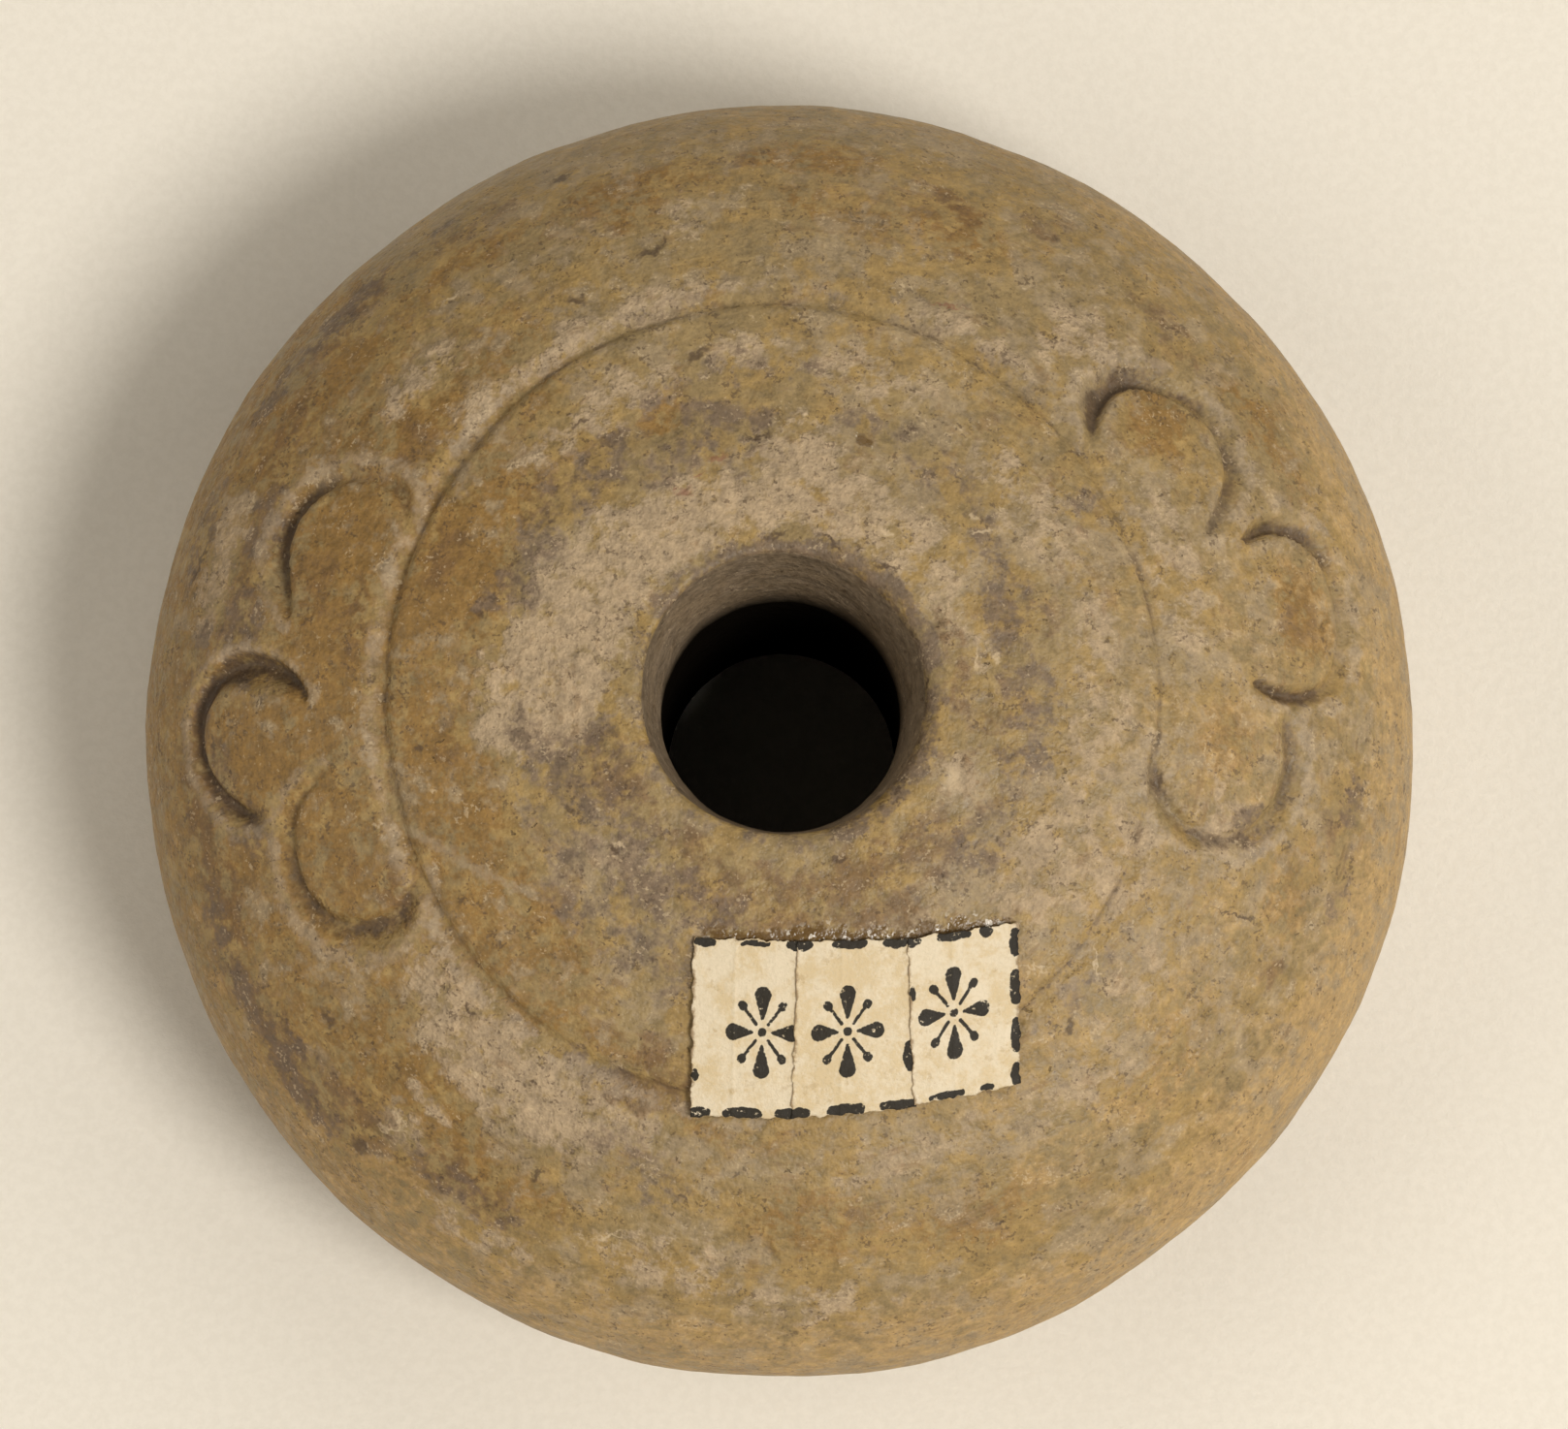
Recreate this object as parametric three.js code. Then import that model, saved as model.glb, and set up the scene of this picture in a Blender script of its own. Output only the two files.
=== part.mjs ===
// A spindle whorl: the fired-clay flywheel of a hand spindle.
// One solid, squat globe of clay, moulded and burnished, is bored through for the shaft. Its upper half carries
// an incised circle and two three-lobed motifs with scooped outlines. Three small slips of printed paper,
// gummed side by side on the upper half, are the only other pieces.
//
// Millimetres, +Z up. The origin is the centre of the underside, which the whorl stands on.
// Azimuth is counted from +X towards +Y, in degrees.
import * as THREE from "three";

// ---- Sizes of the clay body ----
const GIRTH_RADIUS = 26; // mean radius at the widest level
const GIRTH_LEVEL = 9.5; // height of the widest level
const DOME_RISE = 12.8; // from the widest level to where the dome would close over the axis
const DOME_POWER = 2.15; // superellipse power of the dome: 2 is an ellipse, and more is squarer
const UNDERSIDE_POWER = 2.2; // the same for the curve under the widest level
const BASE_RADIUS = 13.5; // the flat that it stands on
const OVALITY = 0.006; // the hand-shaped body is longer along Y and narrower along X by this share

// ---- The bore for the shaft ----
const MOUTH_RADIUS = 5.55;
const MOUTH_TAPER_DEPTH = 5; // the mouth narrows to the neck over this depth
const NECK_RADIUS = 4.85;
const BORE_BASE_RADIUS = 4.75;
const LIP_ROUND = 0.3; // rounding between the dome and the mouth
const WORN_LIP_ROUND = 0.95; // and where the shaft has worn it
const WORN_LIP_AZIMUTH = 345;
const FOOT_ROUND = 0.5; // rounding between the bore and the flat

// ---- The incised circle ----
const CIRCLE_RADIUS = 15.7;
const CIRCLE_SHIFT = 0.36; // its centre lies this far from the axis
const CIRCLE_SHIFT_AZIMUTH = 180;
const CIRCLE_OVAL = 0.3; // and it is wider along Y and narrower along X by this much
const CIRCLE_WALL = 0.45; // its steep inner wall, measured on the surface
const CIRCLE_SLOPE = 1.1; // and the slope back up to the dome outside it
const CIRCLE_DEPTH = 0.35; // at CIRCLE_SHARP_AZIMUTH, and half of it on the far side, where it is worn
const CIRCLE_SHARP_AZIMUTH = 165;

// ---- The two motifs ----
// Each lobe stands in its own scooped outline: a steep wall at the lobe, then a slope back up to the dome.
// across and along are half sizes on the surface, round the whorl and down its side.
const LOBE_POWER = 2.4;
const WALL_WIDTH = 0.55;
const MOTIFS = [
  {
    heart: { azimuth: 181, radius: 17.5, across: 5.2, along: 1.8 },
    lobes: [
      { azimuth: 161.8, radius: 17.9, across: 3.0, along: 2.5, depth: 0.5, scoop: 1.4 },
      { azimuth: 184.8, radius: 20.7, across: 2.3, along: 3.0, depth: 0.5, scoop: 1.2 },
      { azimuth: 200.0, radius: 17.6, across: 2.5, along: 2.7, depth: 0.3, scoop: 1.0 },
    ],
    pits: [
      { azimuth: 175.2, radius: 21.4, size: 1.3, depth: 0.6 },
      { azimuth: 191.2, radius: 22.2, size: 0.8, depth: 0.4 },
      { azimuth: 210.0, radius: 18.4, size: 0.9, depth: 0.35 },
      { azimuth: 151.0, radius: 17.0, size: 0.8, depth: 0.3 },
    ],
  },
  {
    heart: { azimuth: 11, radius: 17.6, across: 5.8, along: 2.3 },
    lobes: [
      { azimuth: 33.0, radius: 18.2, across: 2.9, along: 2.9, depth: 0.35, scoop: 0.9 },
      { azimuth: 11.0, radius: 20.8, across: 3.0, along: 2.9, depth: 0.3, scoop: 0.9 },
      { azimuth: 350.9, radius: 17.9, across: 2.75, along: 3.0, depth: 0.3, scoop: 0.9 },
    ],
    pits: [
      { azimuth: 44.0, radius: 18.1, size: 1.3, depth: 0.55 },
      { azimuth: 19.8, radius: 20.9, size: 0.9, depth: 0.4 },
      { azimuth: 2.0, radius: 20.3, size: 0.9, depth: 0.35 },
      { azimuth: 346.0, radius: 15.4, size: 0.8, depth: 0.25 },
    ],
  },
];

// ---- The paper slips ----
const PAPER_THICKNESS = 0.15;
const PAPER_LIFT = 0.1; // the gum between the dome and the paper
const PAPER_STEPS = 5;
// Corners in plan, in the order top left, top right, bottom right, bottom left.
const SLIPS = [
  { name: "paper_slip_left", corners: [[-3.41, -9.66], [0.64, -9.83], [0.41, -16.61], [-3.54, -16.52]] },
  { name: "paper_slip_middle", corners: [[0.74, -9.83], [4.96, -9.69], [5.19, -16.15], [0.51, -16.61]] },
  { name: "paper_slip_right", corners: [[5.06, -9.68], [9.32, -9.0], [9.41, -15.2], [5.29, -16.12]] },
];

// ---- How finely the surfaces are divided ----
const FINE_STEP = 1.8; // degrees between the lines that run down the motifs
const COARSE_STEP = 6; // and elsewhere
const BAND_STEP = 0.46; // between the rings of the band that holds the circle and the motifs
const MOTIF_MARGIN = 12; // degrees of fine lines beyond the middles of a motif's outer lobes

const radians = THREE.MathUtils.degToRad;
const smooth = (value, from, to) => THREE.MathUtils.smoothstep(value, from, to);

// ---- The body's form ----
function domeLevel(radius) {
  const share = Math.min(radius / GIRTH_RADIUS, 1);
  return GIRTH_LEVEL + DOME_RISE * (1 - share ** DOME_POWER) ** (1 / DOME_POWER);
}

// How steeply the dome falls at a radius, as an angle from level.
function domeSlope(radius) {
  const reach = 0.01;
  return Math.atan((domeLevel(radius - reach) - domeLevel(radius + reach)) / (2 * reach));
}

// The distance down the dome's side from the axis to a radius.
function sideLength(radius) {
  const parts = 24;
  let length = 0;
  for (let i = 0; i < parts; i++) {
    length += radius / parts / Math.cos(domeSlope((radius * (i + 0.5)) / parts));
  }
  return length;
}

// A ring of the body is round at the bore and oval at the girth.
function onRing(radius, level, azimuth) {
  const oval = radius * (1 - OVALITY * smooth(radius, MOUTH_RADIUS, GIRTH_RADIUS) * Math.cos(2 * azimuth));
  return new THREE.Vector3(oval * Math.cos(azimuth), oval * Math.sin(azimuth), level);
}

// A point of the rounded lip, from the mouth's wall at turn 0 to the dome at a quarter turn.
function onLip(turn, azimuth) {
  const worn = (0.5 + 0.5 * Math.cos(azimuth - radians(WORN_LIP_AZIMUTH))) ** 2;
  const round = LIP_ROUND + (WORN_LIP_ROUND - LIP_ROUND) * worn;
  const radius = MOUTH_RADIUS + round * (1 - Math.cos(turn));
  return onRing(radius, domeLevel(MOUTH_RADIUS + round) - round * (1 - Math.sin(turn)), azimuth);
}

// ---- The carving ----
// The offset of a point from a mark's centre: round the whorl, and down its side.
function offsetFrom(mark, azimuth, side) {
  let turn = azimuth - radians(mark.azimuth);
  turn = Math.atan2(Math.sin(turn), Math.cos(turn));
  return new THREE.Vector2(turn * mark.radius, side - mark.side);
}

// How far a point lies outside a lobe's outline, less than zero inside it.
function outsideLobe(lobe, azimuth, side) {
  const offset = offsetFrom(lobe, azimuth, side);
  const share =
    (Math.abs(offset.x / lobe.across) ** LOBE_POWER + Math.abs(offset.y / lobe.along) ** LOBE_POWER) **
    (1 / LOBE_POWER);
  return share < 1e-6 ? -lobe.across : offset.length() * (1 - 1 / share);
}

// How far the incised circle lies outside CIRCLE_RADIUS at an azimuth.
function circleShift(azimuth) {
  return CIRCLE_SHIFT * Math.cos(azimuth - radians(CIRCLE_SHIFT_AZIMUTH)) - CIRCLE_OVAL * Math.cos(2 * azimuth);
}

function circleDepth(azimuth, side) {
  const off = side - sideLength(CIRCLE_RADIUS + circleShift(azimuth));
  const wear = 0.75 + 0.25 * Math.cos(azimuth - radians(CIRCLE_SHARP_AZIMUTH));
  return CIRCLE_DEPTH * wear * (off < 0 ? smooth(off, -CIRCLE_WALL, 0) : 1 - smooth(off, 0, CIRCLE_SLOPE));
}

function motifDepth(motif, azimuth, side, outsideCircle) {
  const edges = motif.lobes.map((lobe) => outsideLobe(lobe, azimuth, side));
  const edge = Math.min(...edges, outsideLobe(motif.heart, azimuth, side));
  if (edge <= 0) {
    return 0;
  }
  const scoops = motif.lobes.map((lobe, i) => lobe.depth * (1 - smooth(edges[i], 0, lobe.scoop)));
  const pits = motif.pits.map((pit) => {
    const off = offsetFrom(pit, azimuth, side).length() / pit.size;
    return pit.depth * Math.exp(-off * off);
  });
  return (Math.max(...scoops) + Math.max(...pits)) * smooth(edge, 0, WALL_WIDTH) * outsideCircle;
}

// How deep the dome is cut at a point.
function carvedDepth(azimuth, radius) {
  const side = sideLength(radius);
  const outsideCircle = smooth(side, sideLength(CIRCLE_RADIUS) - 1.2, sideLength(CIRCLE_RADIUS));
  const motifs = MOTIFS.map((motif) => motifDepth(motif, azimuth, side, outsideCircle));
  return Math.max(circleDepth(azimuth, side), ...motifs);
}

// A point of the carved dome. The rings next to the incised circle run along it.
function onDome(ringRadius, azimuth) {
  const nearCircle = Math.exp(-(((ringRadius - CIRCLE_RADIUS) / 3) ** 2));
  const radius = ringRadius + circleShift(azimuth) * nearCircle;
  const depth = carvedDepth(azimuth, radius);
  const slope = domeSlope(radius);
  const point = onRing(radius, domeLevel(radius), azimuth);
  point.x -= depth * Math.sin(slope) * Math.cos(azimuth);
  point.y -= depth * Math.sin(slope) * Math.sin(azimuth);
  point.z -= depth * Math.cos(slope);
  return point;
}

// ---- Meshing ----
// A closed ring of the body for each station of its profile, and a quad between each pair of neighbours.
function ringedSolid(stations, azimuths, place) {
  const positions = [];
  const faces = [];
  stations.forEach((station, i) => {
    azimuths.forEach((azimuth, j) => {
      positions.push(...place(station, azimuth).toArray());
      const nextRing = ((i + 1) % stations.length) * azimuths.length;
      const ring = i * azimuths.length;
      const next = (j + 1) % azimuths.length;
      faces.push(ring + j, nextRing + j, nextRing + next);
      faces.push(ring + j, nextRing + next, ring + next);
    });
  });
  return indexedGeometry(positions, faces);
}

function indexedGeometry(positions, faces) {
  const geometry = new THREE.BufferGeometry();
  geometry.setAttribute("position", new THREE.Float32BufferAttribute(positions, 3));
  geometry.setIndex(faces);
  geometry.computeVertexNormals();
  return geometry;
}

// Stations of a quarter round from one end to the other, as radius and level.
function quarterRound(from, to, parts, height, reach, power) {
  const stations = [];
  for (let i = from; i < to; i++) {
    const turn = ((i / parts) * Math.PI) / 2;
    stations.push({ radius: reach(Math.sin(turn) ** (2 / power)), level: height(Math.cos(turn) ** (2 / power)) });
  }
  return stations;
}

// The body's profile, as a closed loop: up the bore, over the lip, down the dome, under the girth and along the flat.
function bodyProfile() {
  const lipParts = 3;
  const underParts = 6;
  const bore = [
    { radius: BORE_BASE_RADIUS, level: FOOT_ROUND },
    { radius: NECK_RADIUS, level: domeLevel(MOUTH_RADIUS) - LIP_ROUND - MOUTH_TAPER_DEPTH },
  ];
  const lip = [];
  for (let i = 0; i <= lipParts; i++) {
    lip.push({ lipTurn: ((i / lipParts) * Math.PI) / 2 });
  }
  const domeRadii = [8, 10.5, 13];
  for (let radius = CIRCLE_RADIUS - 3 * BAND_STEP; radius < 24; radius += BAND_STEP) {
    domeRadii.push(radius);
  }
  domeRadii.push(24.4, 25.2, 25.7);
  const dome = domeRadii.map((radius) => ({ radius, onDome: true }));
  const under = quarterRound(
    0,
    underParts + 1,
    underParts,
    (share) => GIRTH_LEVEL * (1 - share),
    (share) => BASE_RADIUS + (GIRTH_RADIUS - BASE_RADIUS) * share,
    UNDERSIDE_POWER,
  ).reverse();
  return [...bore, ...lip, ...dome, ...under, { radius: BORE_BASE_RADIUS + FOOT_ROUND, level: 0 }];
}

// The lines that run down the body, close together over the motifs.
function bodyAzimuths() {
  const inMotif = (degrees) =>
    MOTIFS.some((motif) => {
      const [first, last] = [motif.lobes[0], motif.lobes[2]].map((lobe) => radians(lobe.azimuth));
      const middle = radians(motif.heart.azimuth);
      const reach = Math.max(...[first, last].map((end) => Math.acos(Math.cos(end - middle))));
      return Math.acos(Math.cos(radians(degrees) - middle)) < reach + radians(MOTIF_MARGIN + FINE_STEP);
    });
  const azimuths = [];
  for (let degrees = 0; degrees < 360 - FINE_STEP / 2; degrees += inMotif(degrees) ? FINE_STEP : COARSE_STEP) {
    azimuths.push(radians(degrees));
  }
  return azimuths;
}

function clayBody() {
  const place = (station, azimuth) => {
    if (station.lipTurn !== undefined) {
      return onLip(station.lipTurn, azimuth);
    }
    return station.onDome ? onDome(station.radius, azimuth) : onRing(station.radius, station.level, azimuth);
  };
  const clay = new THREE.MeshStandardMaterial({ color: 0x8f7248, roughness: 0.62, metalness: 0 });
  const mesh = new THREE.Mesh(ringedSolid(bodyProfile(), bodyAzimuths(), place), clay);
  mesh.name = "clay_whorl";
  return mesh;
}

// A slip of paper that follows the dome, between its four corners in plan.
function paperSlip({ name, corners }) {
  const [topLeft, topRight, bottomRight, bottomLeft] = corners.map(([x, y]) => new THREE.Vector2(x, y));
  const positions = [];
  const faces = [];
  const row = PAPER_STEPS + 1;
  const layer = row * row;
  for (const lift of [PAPER_LIFT, PAPER_LIFT + PAPER_THICKNESS]) {
    for (let i = 0; i < row; i++) {
      for (let j = 0; j < row; j++) {
        const left = bottomLeft.clone().lerp(topLeft, i / PAPER_STEPS);
        const right = bottomRight.clone().lerp(topRight, i / PAPER_STEPS);
        const spot = left.lerp(right, j / PAPER_STEPS);
        const slope = domeSlope(spot.length());
        const outward = spot.clone().normalize().multiplyScalar(lift * Math.sin(slope));
        const level = domeLevel(spot.length()) + lift * Math.cos(slope);
        positions.push(spot.x + outward.x, spot.y + outward.y, level);
      }
    }
  }
  for (let i = 0; i < PAPER_STEPS; i++) {
    for (let j = 0; j < PAPER_STEPS; j++) {
      const corner = i * row + j;
      const top = corner + layer;
      faces.push(top, top + 1, top + row + 1, top, top + row + 1, top + row);
      faces.push(corner, corner + row + 1, corner + 1, corner, corner + row, corner + row + 1);
    }
  }
  const rim = [];
  for (let k = 0; k < PAPER_STEPS; k++) rim.push(k);
  for (let k = 0; k < PAPER_STEPS; k++) rim.push(k * row + PAPER_STEPS);
  for (let k = PAPER_STEPS; k > 0; k--) rim.push(PAPER_STEPS * row + k);
  for (let k = PAPER_STEPS; k > 0; k--) rim.push(k * row);
  rim.forEach((from, k) => {
    const to = rim[(k + 1) % rim.length];
    faces.push(from, to, to + layer, from, to + layer, from + layer);
  });
  const paper = new THREE.MeshStandardMaterial({ color: 0xd9c79c, roughness: 0.7, metalness: 0 });
  const mesh = new THREE.Mesh(indexedGeometry(positions, faces), paper);
  mesh.name = name;
  return mesh;
}

// The marks are given by their radius in plan; the carving needs their distance down the dome's side.
for (const motif of MOTIFS) {
  for (const mark of [motif.heart, ...motif.lobes, ...motif.pits]) {
    mark.side = sideLength(mark.radius);
  }
}

const whorl = new THREE.Group();
whorl.add(clayBody());
for (const slip of SLIPS) {
  whorl.add(paperSlip(slip));
}

export default whorl;
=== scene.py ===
import math

import bpy
import numpy as np
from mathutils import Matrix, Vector, noise


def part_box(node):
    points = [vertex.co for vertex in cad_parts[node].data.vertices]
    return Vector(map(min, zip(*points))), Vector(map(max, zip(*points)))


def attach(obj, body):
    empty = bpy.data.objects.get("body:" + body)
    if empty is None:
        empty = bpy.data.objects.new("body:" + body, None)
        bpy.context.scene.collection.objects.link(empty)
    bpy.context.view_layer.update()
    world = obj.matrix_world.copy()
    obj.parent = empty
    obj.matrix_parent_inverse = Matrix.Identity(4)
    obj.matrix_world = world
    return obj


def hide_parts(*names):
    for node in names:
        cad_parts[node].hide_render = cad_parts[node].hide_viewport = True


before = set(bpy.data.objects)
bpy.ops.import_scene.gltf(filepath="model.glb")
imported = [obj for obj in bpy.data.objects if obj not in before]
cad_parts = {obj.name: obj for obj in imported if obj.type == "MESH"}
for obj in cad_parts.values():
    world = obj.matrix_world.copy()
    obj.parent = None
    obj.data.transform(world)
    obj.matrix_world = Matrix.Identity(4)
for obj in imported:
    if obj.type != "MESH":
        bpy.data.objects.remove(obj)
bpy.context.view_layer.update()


# ---- The clay whorl ----
# One solid lump of fired clay, moulded as a squat globe, bored through for the shaft and burnished all
# over. The circle and the three-lobed motifs were pressed and scooped into it before it was fired.

MM = 0.001
body_low, body_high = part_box("clay_whorl")
HALF_X = (body_high.x - body_low.x) / 2 / MM
HALF_Y = (body_high.y - body_low.y) / 2 / MM
GIRTH = (HALF_X + HALF_Y) / 2
OVALITY = (HALF_Y - HALF_X) / (HALF_Y + HALF_X)
GIRTH_LEVEL = 9.5
MOUTH_LEVEL = body_high.z / MM
BASE_RADIUS = 13.5
MOUTH = 5.55
MOUTH_TAPER_DEPTH = 5.0
NECK = 4.85
BORE_BASE = 4.75
LIP_ROUND = 0.3
WORN_LIP_ROUND = 0.95
WORN_LIP_TURN = 345
FOOT_ROUND = 0.5
DOME_POWER = 2.15
UNDER_POWER = 2.2
MOUTH_SHARE = (MOUTH + LIP_ROUND) / GIRTH
DOME_RISE = (MOUTH_LEVEL - GIRTH_LEVEL) / (1 - MOUTH_SHARE ** DOME_POWER) ** (1 / DOME_POWER)

# The carving, in millimetres and in degrees counted from +X towards +Y.
CIRCLE_RADIUS = 15.7
CIRCLE_SHIFT = 0.36
CIRCLE_OVAL = 0.3
CIRCLE_DEPTH = 0.27
CIRCLE_SHARP = 165
CIRCLE_WALL = 0.32
CIRCLE_SLOPE = 1.0
LEFT_MOTIF = 181
RIGHT_MOTIF = 11

# An outline is cut through its points. A point: azimuth, radius, width on the lobe's side, width on the
# far side, depth, and dirt with painted shade. The outline runs with its lobe on the left hand.
OUTLINES = {
    "left_upper_lobe": [
        (155.5, 16.4, 0.25, 0.55, 0.14, 0.4), (151.5, 17.2, 0.30, 0.70, 0.28, 0.6),
        (150.6, 18.4, 0.35, 0.70, 0.24, 0.3), (151.8, 19.5, 0.35, 0.80, 0.26, 0.3),
        (154.5, 20.4, 0.32, 0.90, 0.38, 0.7), (158.0, 20.9, 0.30, 1.00, 0.54, 1.0),
        (162.0, 20.9, 0.30, 1.10, 0.64, 1.1), (165.5, 20.5, 0.28, 1.00, 0.54, 0.9),
        (169.0, 20.0, 0.20, 0.50, 0.20, 0.3),
    ],
    "left_middle_lobe": [
        (179.0, 19.0, 0.35, 0.25, 0.26, 0.8), (176.8, 19.6, 0.90, 0.35, 0.60, 1.1),
        (175.0, 20.6, 1.40, 0.40, 0.85, 1.0), (174.6, 21.8, 1.50, 0.50, 0.85, 1.0),
        (176.0, 22.8, 1.10, 0.55, 0.70, 1.1), (179.5, 23.5, 0.70, 0.60, 0.56, 1.2),
        (184.0, 23.5, 0.45, 0.60, 0.50, 1.0), (187.5, 23.0, 0.40, 0.65, 0.48, 0.8),
        (190.3, 22.2, 0.45, 0.80, 0.56, 1.2), (191.6, 21.4, 0.30, 0.50, 0.24, 0.5),
    ],
    "left_lower_lobe": [
        (189.0, 18.6, 0.20, 0.45, 0.12, 0.1), (192.0, 19.8, 0.24, 0.80, 0.24, 0.3),
        (196.0, 20.3, 0.24, 0.90, 0.30, 0.5), (200.5, 20.4, 0.24, 1.00, 0.32, 0.6),
        (204.5, 20.0, 0.26, 1.20, 0.38, 0.6), (207.2, 19.2, 0.30, 1.40, 0.48, 0.9),
        (208.8, 18.2, 0.32, 1.40, 0.52, 0.9), (208.6, 17.2, 0.32, 1.10, 0.42, 0.7),
        (206.5, 16.2, 0.25, 0.70, 0.20, 0.4),
    ],
    "right_lower_lobe": [
        (352.5, 15.0, 0.25, 0.50, 0.16, 0.4), (348.5, 15.2, 0.30, 0.70, 0.32, 0.8),
        (345.0, 15.8, 0.30, 0.80, 0.34, 0.7), (342.6, 17.0, 0.28, 0.80, 0.34, 0.8),
        (342.6, 18.2, 0.28, 0.80, 0.28, 0.7), (344.8, 19.4, 0.40, 0.90, 0.30, 0.5),
        (349.0, 20.3, 0.55, 0.95, 0.36, 0.7), (353.5, 20.5, 0.55, 0.95, 0.36, 0.7),
        (358.0, 20.2, 0.45, 0.70, 0.24, 0.5),
    ],
    "right_middle_lobe": [
        (2.6, 19.1, 0.30, 0.45, 0.34, 1.1), (1.6, 20.0, 0.40, 0.60, 0.52, 1.2),
        (1.6, 21.1, 0.40, 0.70, 0.46, 1.1), (3.4, 22.2, 0.40, 0.80, 0.36, 0.4),
        (7.5, 22.8, 0.40, 0.80, 0.34, 0.3), (12.5, 22.9, 0.40, 0.85, 0.36, 0.4),
        (16.8, 22.6, 0.40, 1.00, 0.46, 0.8), (19.4, 21.8, 0.35, 1.00, 0.56, 1.1),
        (20.3, 20.8, 0.30, 0.80, 0.58, 1.2), (19.8, 19.9, 0.25, 0.50, 0.36, 1.1),
    ],
    "right_upper_lobe": [
        (22.5, 18.5, 0.30, 0.50, 0.22, 0.5), (25.0, 19.5, 0.30, 0.70, 0.30, 0.7),
        (28.0, 20.4, 0.35, 0.80, 0.32, 0.7), (32.5, 20.9, 0.40, 0.85, 0.34, 0.5),
        (37.0, 20.6, 0.40, 0.90, 0.36, 0.5), (40.6, 19.9, 0.32, 1.10, 0.46, 0.9),
        (43.0, 19.1, 0.30, 1.40, 0.66, 1.2), (43.6, 18.2, 0.30, 1.50, 0.70, 1.2),
        (42.6, 17.2, 0.28, 1.20, 0.56, 1.2), (40.5, 16.4, 0.20, 0.50, 0.20, 0.8),
    ],
}

# How finely the mesh is laid out.
CURVE_POINTS = 4000
DOME_RINGS = 130
UNDER_RINGS = 27
FLAT_RINGS = 7
FOOT_RINGS = 5
BORE_RINGS = 17
LIP_RINGS = 12
LINES_AROUND = 520
AROUND_SAMPLES = 3601
STEPS_PER_KNOT = 5


def smooth(value, start, end):
    share = np.clip((value - start) / (end - start), 0, 1)
    return share * share * (3 - 2 * share)


def rounded(power):
    # A quarter of a superellipse as two shares, from its crown to its widest point.
    turn = np.linspace(0, math.pi / 2, CURVE_POINTS)
    return np.sin(turn) ** (2 / power), np.cos(turn) ** (2 / power)


def run_length(radii, levels):
    # Each point's distance from the curve's start.
    return np.concatenate([[0], np.cumsum(np.hypot(np.diff(radii), np.diff(levels)))])


def evenly(radii, levels, count, from_radius=None):
    # The same curve with evenly spaced points, and each point's distance from the curve's start.
    length = run_length(radii, levels)
    first = 0 if from_radius is None else np.interp(from_radius, radii, length)
    stops = np.linspace(first, length[-1], count)
    return np.interp(stops, length, radii), np.interp(stops, length, levels), stops


out, up = rounded(DOME_POWER)
crown_radii = GIRTH * out
crown_levels = GIRTH_LEVEL + DOME_RISE * up
crown_length = run_length(crown_radii, crown_levels)
dome_r, dome_z, dome_s = evenly(crown_radii, crown_levels, DOME_RINGS, MOUTH + WORN_LIP_ROUND + 0.2)
out, up = rounded(UNDER_POWER)
flank_radii = (BASE_RADIUS + (GIRTH - BASE_RADIUS) * out)[::-1]
flank_levels = (GIRTH_LEVEL * (1 - up))[::-1]
under_r, under_z, _ = evenly(flank_radii, flank_levels, UNDER_RINGS)
flat_r = np.linspace(BASE_RADIUS, BORE_BASE + FOOT_ROUND, FLAT_RINGS)
foot_turn = np.linspace(math.pi / 2, 0, FOOT_RINGS)
foot_r = BORE_BASE + FOOT_ROUND * (1 - np.cos(foot_turn))
foot_z = FOOT_ROUND * (1 - np.sin(foot_turn))
bore_share = np.linspace(0, 1, BORE_RINGS)
bore_stops = [0, 0.66, 1]
bore_top = MOUTH_LEVEL - LIP_ROUND
bore_r = np.interp(bore_share, bore_stops, [BORE_BASE, NECK, MOUTH])
bore_z = np.interp(bore_share, bore_stops, [FOOT_ROUND, bore_top - MOUTH_TAPER_DEPTH, bore_top])
lip_turn = np.linspace(0, math.pi / 2, LIP_RINGS)
lip_flat = 0 * lip_turn

ring_r = np.concatenate([bore_r[1:-1], lip_flat + MOUTH, dome_r, under_r[1:], flat_r[1:-1], foot_r])
ring_z = np.concatenate([bore_z[1:-1], lip_flat + MOUTH_LEVEL, dome_z, under_z[1:], 0 * flat_r[1:-1], foot_z])
ring_s = np.full(len(ring_r), -1.0)
lip_from = len(bore_r) - 2
dome_from = lip_from + len(lip_turn)
ring_s[dome_from:dome_from + len(dome_s)] = dome_s

# Lines run down the body every half degree or so over the motifs, and nearly a degree apart elsewhere.
around = np.linspace(0, 2 * math.pi, AROUND_SAMPLES)
over_left = np.cos(around - math.radians(LEFT_MOTIF)) > 0.80
over_right = np.cos(around - math.radians(RIGHT_MOTIF)) > 0.78
density = 1 + 0.9 * over_left + 0.7 * over_right
share_around = np.concatenate([[0], np.cumsum(density[1:])]) / density[1:].sum()
azimuths = np.interp(np.arange(LINES_AROUND) / LINES_AROUND, share_around, around)

# Grids of rings by lines: the azimuth, the distance from the crown (-1 off the dome), radius and level.
AZ, S = np.meshgrid(azimuths, ring_s)
R = np.meshgrid(azimuths, ring_r)[1]
Z = np.meshgrid(azimuths, ring_z)[1]


def level_at(radius):
    share = np.clip(radius / GIRTH, 0, 1)
    return GIRTH_LEVEL + DOME_RISE * (1 - share ** DOME_POWER) ** (1 / DOME_POWER)


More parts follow.
